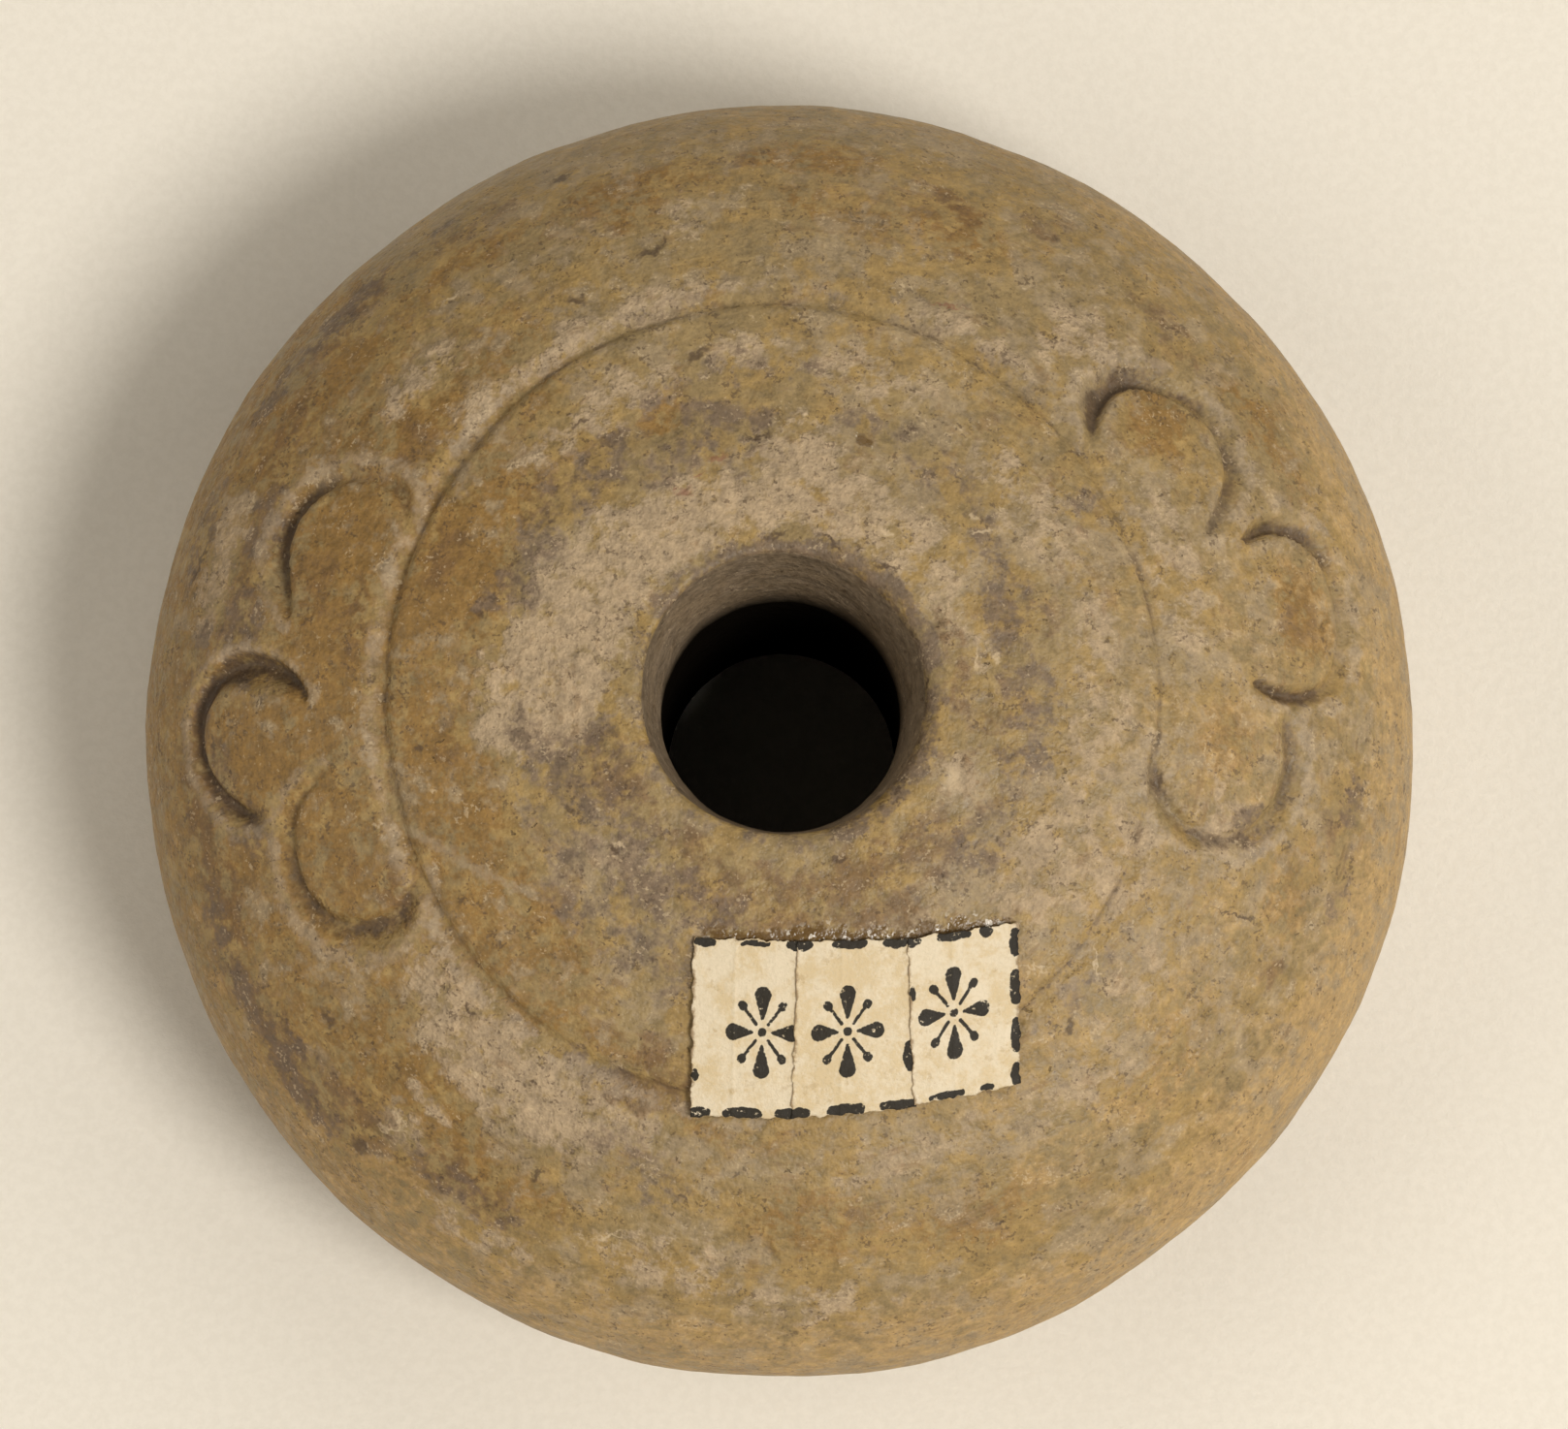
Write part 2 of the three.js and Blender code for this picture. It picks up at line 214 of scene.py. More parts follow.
# The lip is barely rounded, and worn back to a bevel on the side towards WORN_LIP_TURN.
toward_wear = np.cos(azimuths - math.radians(WORN_LIP_TURN))
lip_round = LIP_ROUND + (WORN_LIP_ROUND - LIP_ROUND) * (0.5 + 0.5 * toward_wear) ** 2
lip_level = level_at(MOUTH + lip_round)
for i, turn in enumerate(lip_turn):
    R[lip_from + i] = MOUTH + lip_round * (1 - math.cos(turn))
    Z[lip_from + i] = lip_level - lip_round * (1 - math.sin(turn))


def side_of(radius):
    return np.interp(radius, crown_radii, crown_length)


def offsets(azimuth, radius):
    # Distances round the whorl and down its side from a mark's middle.
    turn = np.angle(np.exp(1j * (AZ - math.radians(azimuth))))
    return turn * radius, S - side_of(radius)


def on_dome(azimuth, radius):
    return np.stack([radius * np.cos(azimuth), radius * np.sin(azimuth), level_at(radius)], -1)


def between(knots):
    # A smooth curve through the knots, as a Catmull-Rom spline.
    ends = np.vstack([2 * knots[0] - knots[1], knots, 2 * knots[-1] - knots[-2]])
    t = np.linspace(0, 1, STEPS_PER_KNOT, endpoint=False)[:, None]
    spans = []
    for before, start, end, after in zip(ends, ends[1:], ends[2:], ends[3:]):
        spans.append(0.5 * (2 * start + (end - before) * t
                            + (2 * before - 5 * start + 4 * end - after) * t ** 2
                            + (3 * start - before - 3 * end + after) * t ** 3))
    return np.vstack(spans + [knots[-1:]])


def along_curve(points):
    # How far each spot of the dome is from a curve: plus on its right hand, minus on its left. Also the
    # curve's own widths, depth, and dirt with painted shade at its nearest point.
    knots = np.array(points, dtype=float)
    knots[:, 0] = np.unwrap(np.radians(knots[:, 0]))
    curve = between(knots)
    places = on_dome(curve[:, 0], curve[:, 1])
    nearest = np.full(AZ.shape, np.inf)
    side = np.ones_like(AZ)
    share = np.zeros_like(AZ)
    for i, (start, end) in enumerate(zip(places, places[1:])):
        run = end - start
        t = np.clip(((smooth_dome - start) @ run) / (run @ run), 0, 1)
        away = smooth_dome - start - t[..., None] * run
        distance = np.linalg.norm(away, axis=-1)
        closer = distance < nearest
        nearest = np.where(closer, distance, nearest)
        side = np.where(closer, np.sign(run[1] * away[..., 0] - run[0] * away[..., 1]), side)
        share = np.where(closer, i + t, share)
    values = [np.interp(share, np.arange(len(curve)), column) for column in curve[:, 2:].T]
    return nearest * side, values


smooth_dome = on_dome(AZ, np.where(S > 0, R, 0))

# The circle is a groove with a short wall on its inner side and a long gentle slope on its outer side.
circle_radius = CIRCLE_RADIUS - CIRCLE_SHIFT * np.cos(AZ) - CIRCLE_OVAL * np.cos(2 * AZ)
from_circle = S - side_of(circle_radius)
kept_depth = 0.78 + 0.22 * np.cos(AZ - math.radians(CIRCLE_SHARP))
inner_wall = smooth(from_circle, -CIRCLE_WALL, 0)
outer_slope = 1 - smooth(from_circle, 0.1, CIRCLE_SLOPE)
carved = CIRCLE_DEPTH * kept_depth * np.where(from_circle < 0, inner_wall, outer_slope)

# The scoops, the dirt and painted shade in them, and the band just outside each where dust gathers and a
# painted highlight lies.
scoop_dirt_and_shade = np.zeros_like(AZ)
scoop_rim_dust_and_highlight = np.zeros_like(AZ)
for points in OUTLINES.values():
    off, (lobe_side, far_side, deep, dirt_and_shade_share) = along_curve(points)
    shape = np.where(off < 0, 1 - smooth(-off, 0.02, lobe_side), 1 - smooth(off, 0.05, far_side))
    carved = np.maximum(carved, deep * shape)
    soiled_and_shaded = np.where(off < 0, 1 - smooth(-off, 0.0, 0.9 * lobe_side), 1 - smooth(off, 0.1, 0.85 * far_side))
    scoop_dirt_and_shade = np.maximum(scoop_dirt_and_shade, dirt_and_shade_share * soiled_and_shaded)
    beside = smooth(off, 0.5 * far_side, far_side) * (1 - smooth(off, far_side, far_side + 0.7))
    scoop_rim_dust_and_highlight = np.maximum(scoop_rim_dust_and_highlight, beside)

# The hand-shaped surface: broad unevenness, smaller swells and grain, and the small dents of worn clay.
BROAD_RISE = 0.13
MEDIUM_RISE = 0.045
GRAIN_RISE = 0.014
ring_radius = R * (1 - OVALITY * smooth(R, MOUTH, GIRTH) * np.cos(2 * AZ))
X = ring_radius * np.cos(AZ)
Y = ring_radius * np.sin(AZ)
surface_points = [Vector(p) for p in np.stack([X, Y, Z], -1).reshape(-1, 3)]


def clay_noise(scale, octaves, shift):
    moved = Vector((shift, 0, 0))
    values = [noise.fractal(p / scale + moved, 1.0, 2.0, octaves) for p in surface_points]
    return np.array(values).reshape(AZ.shape)


broad = clay_noise(9.0, 2, 3.7)
medium = clay_noise(2.6, 3, 11.2)
grain = clay_noise(0.7, 2, 23.9)

# Shallow dents: azimuth, radius, half size across, half size down the side, and depth.
DENTS = [
    (113, 12.0, 1.3, 0.9, 0.16), (164.5, 12.3, 0.30, 0.22, 0.12), (97, 11.0, 1.6, 0.8, 0.08),
    (28, 6.4, 0.7, 0.7, 0.25), (205, 9.4, 2.0, 0.7, 0.08), (246, 12.8, 2.4, 1.1, 0.08),
    (62, 12.4, 2.8, 0.9, 0.07), (331, 9.0, 1.3, 0.7, 0.10), (333, 7.7, 0.7, 0.45, 0.10),
    (141, 20.6, 3.0, 0.5, 0.10), (255, 20.8, 0.5, 2.2, 0.06),
]
for azimuth, radius, half_across, half_down, deep in DENTS:
    u, v = offsets(azimuth, radius)
    carved = np.maximum(carved, deep * (1 - smooth(np.hypot(u / half_across, v / half_down), 0.3, 1.3)))

depth = np.where(S > 0, carved, 0) - BROAD_RISE * broad - MEDIUM_RISE * medium - GRAIN_RISE * grain
depth = depth * smooth(Z, 0.0, 0.6)

# Each point moves in along the profile's normal by its depth.
along_r = np.roll(R, -1, axis=0) - np.roll(R, 1, axis=0)
along_z = np.roll(Z, -1, axis=0) - np.roll(Z, 1, axis=0)
profile_step = np.hypot(along_r, along_z)
X = X + depth * along_z / profile_step * np.cos(AZ)
Y = Y + depth * along_z / profile_step * np.sin(AZ)
Z = Z - depth * along_r / profile_step

index = np.arange(AZ.size).reshape(AZ.shape)
index = np.vstack([index, index[:1]])
index = np.hstack([index, index[:, :1]])
quads = np.stack([index[:-1, :-1], index[1:, :-1], index[1:, 1:], index[:-1, 1:]], -1)
whorl_mesh = bpy.data.meshes.new("clay_whorl_carved")
corners = np.stack([X, Y, Z], -1).reshape(-1, 3) * MM
whorl_mesh.from_pydata(corners.tolist(), [], quads.reshape(-1, 4).tolist())
whorl_mesh.shade_smooth()
whorl = bpy.data.objects.new("clay_whorl_carved", whorl_mesh)
bpy.context.collection.objects.link(whorl)


def paint(mesh, name, values):
    layer = mesh.attributes.new(name, "FLOAT", "POINT")
    layer.data.foreach_set("value", np.ascontiguousarray(values, dtype=np.float32).ravel())


def patch(azimuth, radius, half_across, half_down, slant=0):
    # The share of a soft ragged patch, turned by slant degrees.
    u, v = offsets(azimuth, radius)
    u = u + 0.55 * medium + 0.30 * grain + 0.45 * broad
    v = v + 0.55 * np.roll(medium, 40, axis=1) + 0.30 * np.roll(grain, 25, axis=1)
    turn = math.radians(slant)
    p = (u * math.cos(turn) + v * math.sin(turn)) / (half_across + 0.2)
    q = (v * math.cos(turn) - u * math.sin(turn)) / (half_down + 0.2)
    return 1 - smooth(np.hypot(p, q), 0.40, 1.50)


def patches(spots):
    # A spot: azimuth, radius, half size across, half size down the side, strength, and slant if it has one.
    total = np.zeros_like(AZ)
    for azimuth, radius, half_across, half_down, strength, *slant in spots:
        total = np.maximum(total, strength * patch(azimuth, radius, half_across, half_down, *slant))
    return total


# Where the burnish is left the clay is khaki and ochre. Round the bore and in patches it is worn to a
# chalky beige. Grey and brown soil stains lie over both.
ochre = patches([
    (160, 14.2, 5.6, 1.5, 1.0), (158, 12.8, 1.8, 0.8, 0.9), (186, 14.2, 4.6, 1.4, 0.85),
    (197, 12.6, 2.2, 1.0, 0.8), (219, 14.7, 2.6, 0.9, 0.7), (226, 13.3, 3.6, 0.5, 0.6, 10),
    (244, 15.2, 1.5, 0.7, 0.6), (161, 18.6, 3.4, 2.0, 1.0), (176, 18.4, 3.4, 1.9, 1.0),
    (184, 20.8, 1.9, 2.2, 0.95), (199, 18.3, 3.0, 1.6, 0.7), (144, 18.0, 1.7, 1.1, 1.0),
    (130, 18.4, 1.7, 1.4, 0.5), (142, 22.4, 3.2, 0.8, 0.8), (124, 22.3, 3.6, 0.8, 0.5),
    (107, 21.6, 3.6, 1.4, 0.6), (152, 23.2, 1.6, 0.7, 0.7), (217, 21.4, 3.2, 1.6, 0.6),
    (200, 22.4, 3.6, 1.2, 0.7), (240, 21.6, 3.2, 1.4, 0.6), (262, 17.3, 3.2, 0.6, 0.5),
    (11, 21.2, 1.9, 1.2, 1.0), (28, 22.6, 4.6, 0.9, 0.5), (36, 18.7, 1.6, 1.3, 0.7),
    (340, 21.6, 2.4, 1.1, 0.5), (318, 20.6, 3.0, 1.5, 0.4), (274, 20.4, 3.4, 1.6, 0.5),
    (76, 20.6, 4.8, 1.6, 0.5), (356, 17.6, 1.5, 1.1, 0.6), (112, 12.0, 1.0, 0.8, 0.7),
    (291, 21.4, 3.0, 1.4, 0.5), (180, 23.2, 3.4, 0.9, 0.7), (88, 22.6, 3.4, 0.9, 0.6),
])
worn = patches([
    (103, 7.6, 4.2, 1.4, 0.95), (138, 8.0, 3.6, 1.9, 1.0), (168, 8.6, 3.6, 2.3, 1.0),
    (66, 8.0, 3.6, 1.8, 0.65), (152, 10.2, 2.4, 0.9, 0.9), (182, 10.2, 2.2, 1.9, 0.9),
    (122, 13.6, 4.0, 1.0, 0.6), (84, 9.4, 2.2, 1.2, 0.8), (234, 18.2, 4.6, 1.5, 0.9),
    (222, 17.2, 2.6, 1.0, 0.8), (246, 17.9, 2.2, 1.4, 0.7), (166, 23.4, 3.0, 1.1, 0.8),
    (138, 19.4, 2.2, 0.7, 0.7, 10), (118, 16.9, 7.0, 0.5, 0.5), (259, 22.4, 3.2, 1.3, 0.6),
    (333, 7.7, 0.7, 0.5, 1.0), (352, 12.4, 3.6, 1.5, 0.5), (328, 12.4, 2.6, 1.8, 0.8),
    (334, 14.6, 2.6, 1.2, 0.7), (45, 7.6, 3.0, 1.4, 0.5), (15, 7.8, 2.2, 1.0, 0.4),
    (38, 12.6, 3.4, 1.1, 0.5), (12, 12.6, 2.4, 0.9, 0.5), (228, 9.0, 2.2, 0.7, 0.5),
    (240, 24.0, 2.4, 0.7, 0.6), (308, 19.2, 3.0, 1.0, 0.5), (324, 17.8, 2.6, 0.9, 0.5),
    (101, 20.4, 0.8, 1.1, 0.5), (228, 22.6, 1.1, 0.6, 0.8), (229, 21.1, 0.9, 0.4, 0.7),
    (95, 14.0, 1.2, 0.5, 0.6), (64, 16.5, 3.4, 0.3, 0.6), (50, 18.9, 1.6, 1.6, 0.5),
    (18, 16.6, 3.4, 0.8, 0.5), (345, 18.0, 1.6, 1.0, 0.7), (286, 18.4, 3.4, 0.7, 0.5),
    # The last worn spot, beside the slips' upper edge, is a glossy band whose paleness is painted sheen.
    (272, 23.6, 3.6, 0.9, 0.5), (75, 13.4, 2.6, 1.0, 0.5), (300, 10.4, 1.8, 0.4, 0.7, -8),
])
stain = patches([
    (18, 9.3, 1.7, 0.6, 0.85), (8, 9.1, 1.4, 0.6, 0.7), (28, 10.1, 1.6, 0.5, 0.75, -12),
    (38, 10.2, 1.7, 0.6, 0.65), (52, 10.8, 2.4, 0.6, 0.5), (71, 11.3, 1.6, 0.5, 0.5),
    (0, 9.9, 1.9, 0.9, 0.6), (348, 9.6, 2.2, 0.9, 0.55), (340, 9.4, 0.9, 0.5, 0.7),
    (325, 9.9, 2.4, 0.9, 0.5), (96.5, 11.3, 1.0, 0.5, 1.0), (102, 11.4, 1.3, 0.6, 0.8, 10),
    (110, 10.3, 1.5, 0.5, 0.75, -20), (118, 10.5, 1.5, 0.5, 0.6), (110, 12.8, 1.8, 0.4, 0.55),
    (97, 9.8, 0.9, 0.9, 0.5), (128, 11.6, 2.0, 1.0, 0.6), (139, 11.6, 2.0, 1.0, 0.6),
    (157, 11.2, 1.0, 0.7, 0.8, 14), (151, 11.2, 1.6, 0.8, 0.6), (164.4, 12.3, 0.3, 0.3, 0.8),
    (136, 24.4, 2.4, 0.5, 0.9), (146, 24.5, 2.4, 0.5, 0.75), (126, 24.2, 2.2, 0.4, 0.6),
    (162, 24.6, 2.6, 0.4, 0.6), (172, 21.9, 1.8, 1.0, 0.75), (160, 22.1, 2.2, 0.6, 0.6),
    (178, 23.4, 2.6, 0.6, 0.6), (207, 8.9, 2.4, 1.0, 0.75), (212, 10.6, 1.8, 0.6, 0.6),
    (196, 7.2, 1.4, 0.6, 0.6), (222, 8.2, 2.0, 0.9, 0.65), (236, 9.6, 1.8, 0.8, 0.6),
    (247, 11.4, 2.4, 1.5, 0.5), (228, 11.4, 2.6, 0.9, 0.5), (248, 8.8, 2.6, 0.9, 0.55),
    (193, 10.3, 2.0, 0.5, 0.5, 8), (216, 24.0, 4.8, 0.9, 0.6), (203, 24.2, 3.4, 0.6, 0.6),
    (240, 16.6, 2.6, 0.3, 0.6), (250, 18.6, 1.0, 0.8, 0.5), (256, 19.6, 1.2, 0.9, 0.4),
    (351, 23.3, 1.4, 0.5, 0.6, -8), (343, 23.6, 1.6, 0.4, 0.45), (345, 19.6, 0.9, 0.8, 0.5),
    (96, 13.4, 1.4, 0.8, 0.4), (318, 16.4, 3.2, 0.4, 0.4), (88, 12.8, 1.8, 0.7, 0.35),
    (33, 13.9, 1.4, 0.8, 0.35), (112, 10.6, 2.0, 0.4, 0.5), (306, 24.6, 3.0, 0.5, 0.3),
    (188, 22.7, 2.4, 0.6, 0.6), (192.5, 21.6, 0.9, 0.8, 0.8), (238, 22.8, 3.0, 0.8, 0.4),
])
brown = patches([
    (212, 7.2, 2.4, 0.9, 0.8), (240, 7.2, 2.6, 0.7, 0.6), (266, 8.4, 3.4, 1.4, 0.8),
    (292, 8.6, 3.2, 1.6, 0.8), (312, 8.4, 2.4, 1.4, 0.6), (350, 8.6, 2.4, 0.9, 0.6),
    (8, 7.0, 2.2, 0.5, 0.7), (340, 6.6, 1.6, 0.5, 0.6), (250.6, 16.6, 1.2, 0.4, 1.0),
    (254, 15.8, 2.2, 0.3, 0.7), (248.5, 14.8, 0.4, 0.5, 0.9), (170, 17.2, 1.6, 0.6, 0.7),
    (166, 19.2, 1.6, 0.9, 0.6), (71, 21.3, 1.3, 0.8, 0.6), (62, 22.2, 1.0, 0.4, 0.5),
    (44, 22.0, 2.6, 0.7, 0.5), (38, 20.6, 2.6, 0.5, 0.5), (145, 17.9, 1.2, 0.8, 0.7),
    (331.5, 22.2, 0.5, 0.3, 0.8), (158, 14.6, 2.2, 0.6, 0.6), (150, 23.0, 2.4, 0.5, 0.6),
    (186, 23.8, 4.4, 0.7, 0.9), (198, 23.6, 3.2, 0.7, 0.7), (214, 24.0, 4.4, 0.9, 0.9),
    (224, 23.2, 2.4, 0.8, 0.7), (237, 22.6, 2.6, 0.7, 0.5), (138, 24.0, 3.4, 0.7, 0.8),
    (122, 23.6, 3.0, 0.7, 0.5), (348, 22.8, 1.6, 0.6, 0.6), (10.5, 20.9, 0.9, 0.7, 0.7),
    (207, 16.8, 1.6, 0.7, 0.7), (96, 22.6, 2.4, 0.4, 0.5), (300, 22.9, 1.4, 0.4, 0.3),
    (189, 13.2, 1.4, 0.7, 0.4), (20, 10.6, 1.6, 0.6, 0.4), (278, 20.0, 1.6, 0.5, 0.4),
])

# The left flank is ochre as a whole, outside the worn part. The outer flank turns orange, most of all on the
# near right side that faces the key lamp: that orange is partly the clay's own and partly painted light.
OCHRE_SIDE = 182
LIT_ORANGE_SIDE = -25
toward_ochre = smooth(np.cos(AZ - math.radians(OCHRE_SIDE)) + 0.2 * broad, 0.2, 0.9)
ochre = np.maximum(ochre, 0.55 * toward_ochre * smooth(R, 10.5, 12.5))
toward_lit_orange = 0.55 + 0.45 * np.cos(AZ - math.radians(LIT_ORANGE_SIDE))
warm_and_lit = smooth(R + 0.9 * broad + 0.5 * medium, 22.6, 25.0) * toward_lit_orange * (Z > GIRTH_LEVEL - 3)
warm_and_lit = np.maximum(warm_and_lit, 0.30 * smooth(toward_lit_orange + 0.2 * broad, 0.6, 1.0) * smooth(R, 10, 13))

# The glue that holds the slips has run out in a narrow brown line along their upper edge.
glue_edge = np.interp(X, [-3.4, 0.6, 5.0, 9.3], [-9.66, -9.83, -9.69, -9.0])
glue_end = glue_edge + 0.75 + 0.7 * medium
glue = smooth(Y, glue_edge - 0.4, glue_edge) * (1 - smooth(Y, glue_edge + 0.15, glue_end))
glue = glue * smooth(X, -3.6, -2.0) * (1 - smooth(X, 8.2, 9.8)) * (Z > GIRTH_LEVEL)

# Dirt and painted shade lie along the foot of the circle's wall and in the scoops, and dust with a painted
# highlight on the slopes beside them.
left_side = 0.5 - 0.5 * np.cos(AZ - math.radians(15))
far_part = np.clip(np.cos(AZ - math.radians(80)), 0, 1) ** 2
circle_line = np.exp(-((from_circle + 0.02) / 0.14) ** 2) * (0.62 - 0.20 * left_side) * (1 - 0.4 * far_part)
far_smear = 0.32 * far_part * np.exp(-((from_circle - 0.45) / 0.55) ** 2)
dirt_and_shade = np.maximum(circle_line, far_smear)
dirt_and_shade = np.where(S > 0, np.maximum(dirt_and_shade, scoop_dirt_and_shade), 0)
circle_dust_and_highlight = 0.75 * np.exp(-((from_circle - 0.6) / 0.4) ** 2) * (0.45 + 0.55 * left_side)
dust_and_highlight = np.maximum(0.85 * scoop_rim_dust_and_highlight, circle_dust_and_highlight)
dust_and_highlight = np.where(S > 0, dust_and_highlight * (1 - np.clip(dirt_and_shade, 0, 1)), 0)

# The bore's wall is painted a darker grey as shade near the mouth, and deeper down it is painted black,
# fully so from the second depth below: a painted shadow where no lamp reaches. Soil clings to the lip's
# edge, most on the far side.
SHADOW_FROM_DEPTH = 5.2
SHADOW_BY_DEPTH = 7.4
LOW_LIP_RINGS = 3
bore_shadow = np.zeros_like(AZ)
bore_shadow[:lip_from] = smooth(MOUTH_LEVEL - Z[:lip_from], SHADOW_FROM_DEPTH, SHADOW_BY_DEPTH)
bore_shadow[-FOOT_RINGS:] = 1.0
wall = np.zeros_like(AZ)
wall[:lip_from + LOW_LIP_RINGS] = 1.0
far_lip = np.clip(np.cos(AZ - math.radians(75)), 0, 1)
right_lip = np.clip(np.cos(AZ - math.radians(-20)), 0, 1)
lip_dirt = 0.30 + 0.45 * far_lip + 0.30 * right_lip
rim = np.zeros_like(AZ)
rim[lip_from + LOW_LIP_RINGS:dome_from] = lip_dirt[lip_from + LOW_LIP_RINGS:dome_from]

masks = {"ochre": ochre, "worn": worn, "stain": stain, "brown": brown, "warm_and_lit": warm_and_lit, "dirt_and_shade": dirt_and_shade,
         "dust_and_highlight": dust_and_highlight, "glue": glue, "bore": bore_shadow, "wall": wall, "rim": rim}
for name, values in masks.items():
    paint(whorl_mesh, name, values)


def add(tree, kind, sockets=None, **settings):
    # A node with its settings. Each numbered or named socket gets a value or another node's output.
    node = tree.nodes.new(kind)
    for name, value in settings.items():
        setattr(node, name, value)
    for socket, value in (sockets or {}).items():
        if isinstance(value, bpy.types.NodeSocket):
            tree.links.new(value, node.inputs[socket])
        else:
            node.inputs[socket].default_value = value
    return node


def fresh_material(name):
    # A new material, its node tree, its shader and the piece's own space in millimetres.
    material = bpy.data.materials.new(name)
    material.use_nodes = True
    tree = material.node_tree
    space = add(tree, "ShaderNodeTexCoord").outputs["Object"]
    in_mm = add(tree, "ShaderNodeMapping", {"Vector": space, "Scale": (1 / MM, 1 / MM, 1 / MM)}).outputs[0]
    return material, tree, tree.nodes["Principled BSDF"], in_mm


def blend(tree, share, first, second, kind="MIX"):
    sockets = {0: share, 6: first, 7: second}
    return add(tree, "ShaderNodeMix", sockets, data_type="RGBA", blend_type=kind).outputs[2]


def combine(tree, operation, first, second):
    return add(tree, "ShaderNodeMath", {0: first, 1: second}, operation=operation).outputs[0]


def times(tree, first, second):
    return combine(tree, "MULTIPLY", first, second)


def plus_part(tree, start, value, weight):
    sockets = {0: value, 1: weight, 2: start}
    return add(tree, "ShaderNodeMath", sockets, operation="MULTIPLY_ADD").outputs[0]


def spread(tree, value, low, high, top=1.0):
    # A smooth rise from 0 to top while the value goes from low to high.
    sockets = {"Value": value, "From Min": low, "From Max": high, "To Max": top}
    return add(tree, "ShaderNodeMapRange", sockets, interpolation_type="SMOOTHSTEP").outputs["Result"]


def grains(tree, where, scale, detail, rough):
    # Three unlike noises of one size. Each is stretched to run from 0 to 1.
    sockets = {"Vector": where, "Scale": scale, "Detail": detail, "Roughness": rough}
    tint = add(tree, "ShaderNodeTexNoise", sockets).outputs["Color"]
    noises = []
    for part in add(tree, "ShaderNodeSeparateColor", {"Color": tint}).outputs:
        stretch = {"Value": part, "From Min": 0.34, "From Max": 0.66}
        noises.append(add(tree, "ShaderNodeMapRange", stretch).outputs["Result"])
    return noises


def uneven(tree, start, *parts):
    # The start, with each noise swinging it either way by half its weight.
    total = combine(tree, "ADD", start, -sum(weight for _, weight in parts) / 2)
    for value, weight in parts:
        total = plus_part(tree, total, value, weight)
    return total


def bumps(tree, shader, height, strength, distance):
    sockets = {"Strength": strength, "Distance": distance, "Height": height}
    relief = add(tree, "ShaderNodeBump", sockets).outputs[0]
    tree.links.new(relief, shader.inputs["Normal"])


def mask(tree, name):
    return add(tree, "ShaderNodeAttribute", attribute_name=name).outputs["Fac"]


# Small marks too fine for the mesh: azimuth, radius, half length, half width, and slant from the way round
# if it has one.
DARK_MARKS = [
    (103.6, 14.15, 0.42, 0.16, 25), (125.9, 13.6, 0.36, 0.10), (116.8, 18.25, 0.50, 0.16, -35),
    (105.7, 19.0, 0.50, 0.12), (104.2, 19.3, 0.30, 0.10, 70), (142.7, 11.4, 0.22, 0.14),
    (164.6, 12.3, 0.26, 0.18, 30), (208.7, 9.5, 0.24, 0.14), (223.7, 9.0, 0.32, 0.13),
    (237.4, 18.0, 0.12, 0.10), (242.6, 21.0, 0.14, 0.22), (225.8, 24.05, 0.40, 0.22),
    (311.2, 17.2, 0.32, 0.14, 15), (348.3, 15.3, 0.24, 0.16), (28.6, 17.25, 0.11, 0.11),
    (289.0, 7.0, 0.30, 0.12), (112.0, 23.8, 0.40, 0.12), (225.2, 17.4, 0.28, 0.12),
    (335.1, 19.9, 1.15, 0.05, -77), (214.5, 21.8, 0.40, 0.16), (165.0, 24.3, 1.3, 0.10, -8),
    (183.2, 22.75, 0.35, 0.10), (95.0, 10.3, 0.5, 0.10, 10), (188.0, 14.5, 0.2, 0.1),
    (50.0, 6.5, 0.5, 0.09, 30), (72.0, 6.3, 0.6, 0.08, -25), (92.0, 6.2, 0.5, 0.10, 20),
]
PALE_MARKS = [
    (332.8, 7.6, 0.46, 0.34), (9.0, 7.8, 0.40, 0.10, -6), (9.6, 8.6, 0.22, 0.09),
    (39.0, 10.35, 0.36, 0.08, 60), (42.8, 10.45, 0.20, 0.14), (40.6, 11.45, 0.12, 0.08),
    (56.5, 7.6, 0.20, 0.16), (85.0, 11.4, 0.18, 0.14), (252.2, 22.05, 0.50, 0.07, 20),
    (195.0, 14.2, 0.12, 0.08), (223.9, 8.75, 0.30, 0.07, 10), (230.6, 19.0, 0.12, 0.09),
    (197.2, 16.7, 0.14, 0.10), (227.3, 22.7, 0.60, 0.07, 30), (227.0, 22.2, 0.5, 0.07, -25),
    (320.0, 16.2, 0.7, 0.05, 40), (128.5, 21.3, 0.4, 0.08), (313.0, 14.6, 0.5, 0.06, -50),
]
CREAM_MARKS = [
    (202.5, 14.9, 1.7, 0.20, 38), (211.5, 13.5, 1.9, 0.17, 32), (333.1, 7.7, 0.65, 0.45),
]
RED_MARKS = [
    (115.3, 8.9, 0.30, 0.18), (104.8, 9.75, 0.35, 0.12), (67.4, 17.3, 0.60, 0.07, 18),
    (110.5, 9.3, 0.3, 0.08, 10),
]

# Colours of the bare clay, of the films and soils that lie on it, and of what shows where it is rubbed.
KHAKI = (0.275, 0.190, 0.080, 1)
GOLD = (0.318, 0.205, 0.070, 1)
DEEP_OCHRE = (0.245, 0.135, 0.034, 1)
GREY_BLOOM = (0.318, 0.232, 0.130, 1)
CHALKY = (0.410, 0.296, 0.178, 1)
# Part of this orange is painted light on the side towards the key lamp.
ORANGE_AND_LIT = (0.420, 0.272, 0.112, 1)
BROWN_SOIL = (0.160, 0.086, 0.030, 1)
GREY_SOIL = (0.150, 0.100, 0.062, 1)
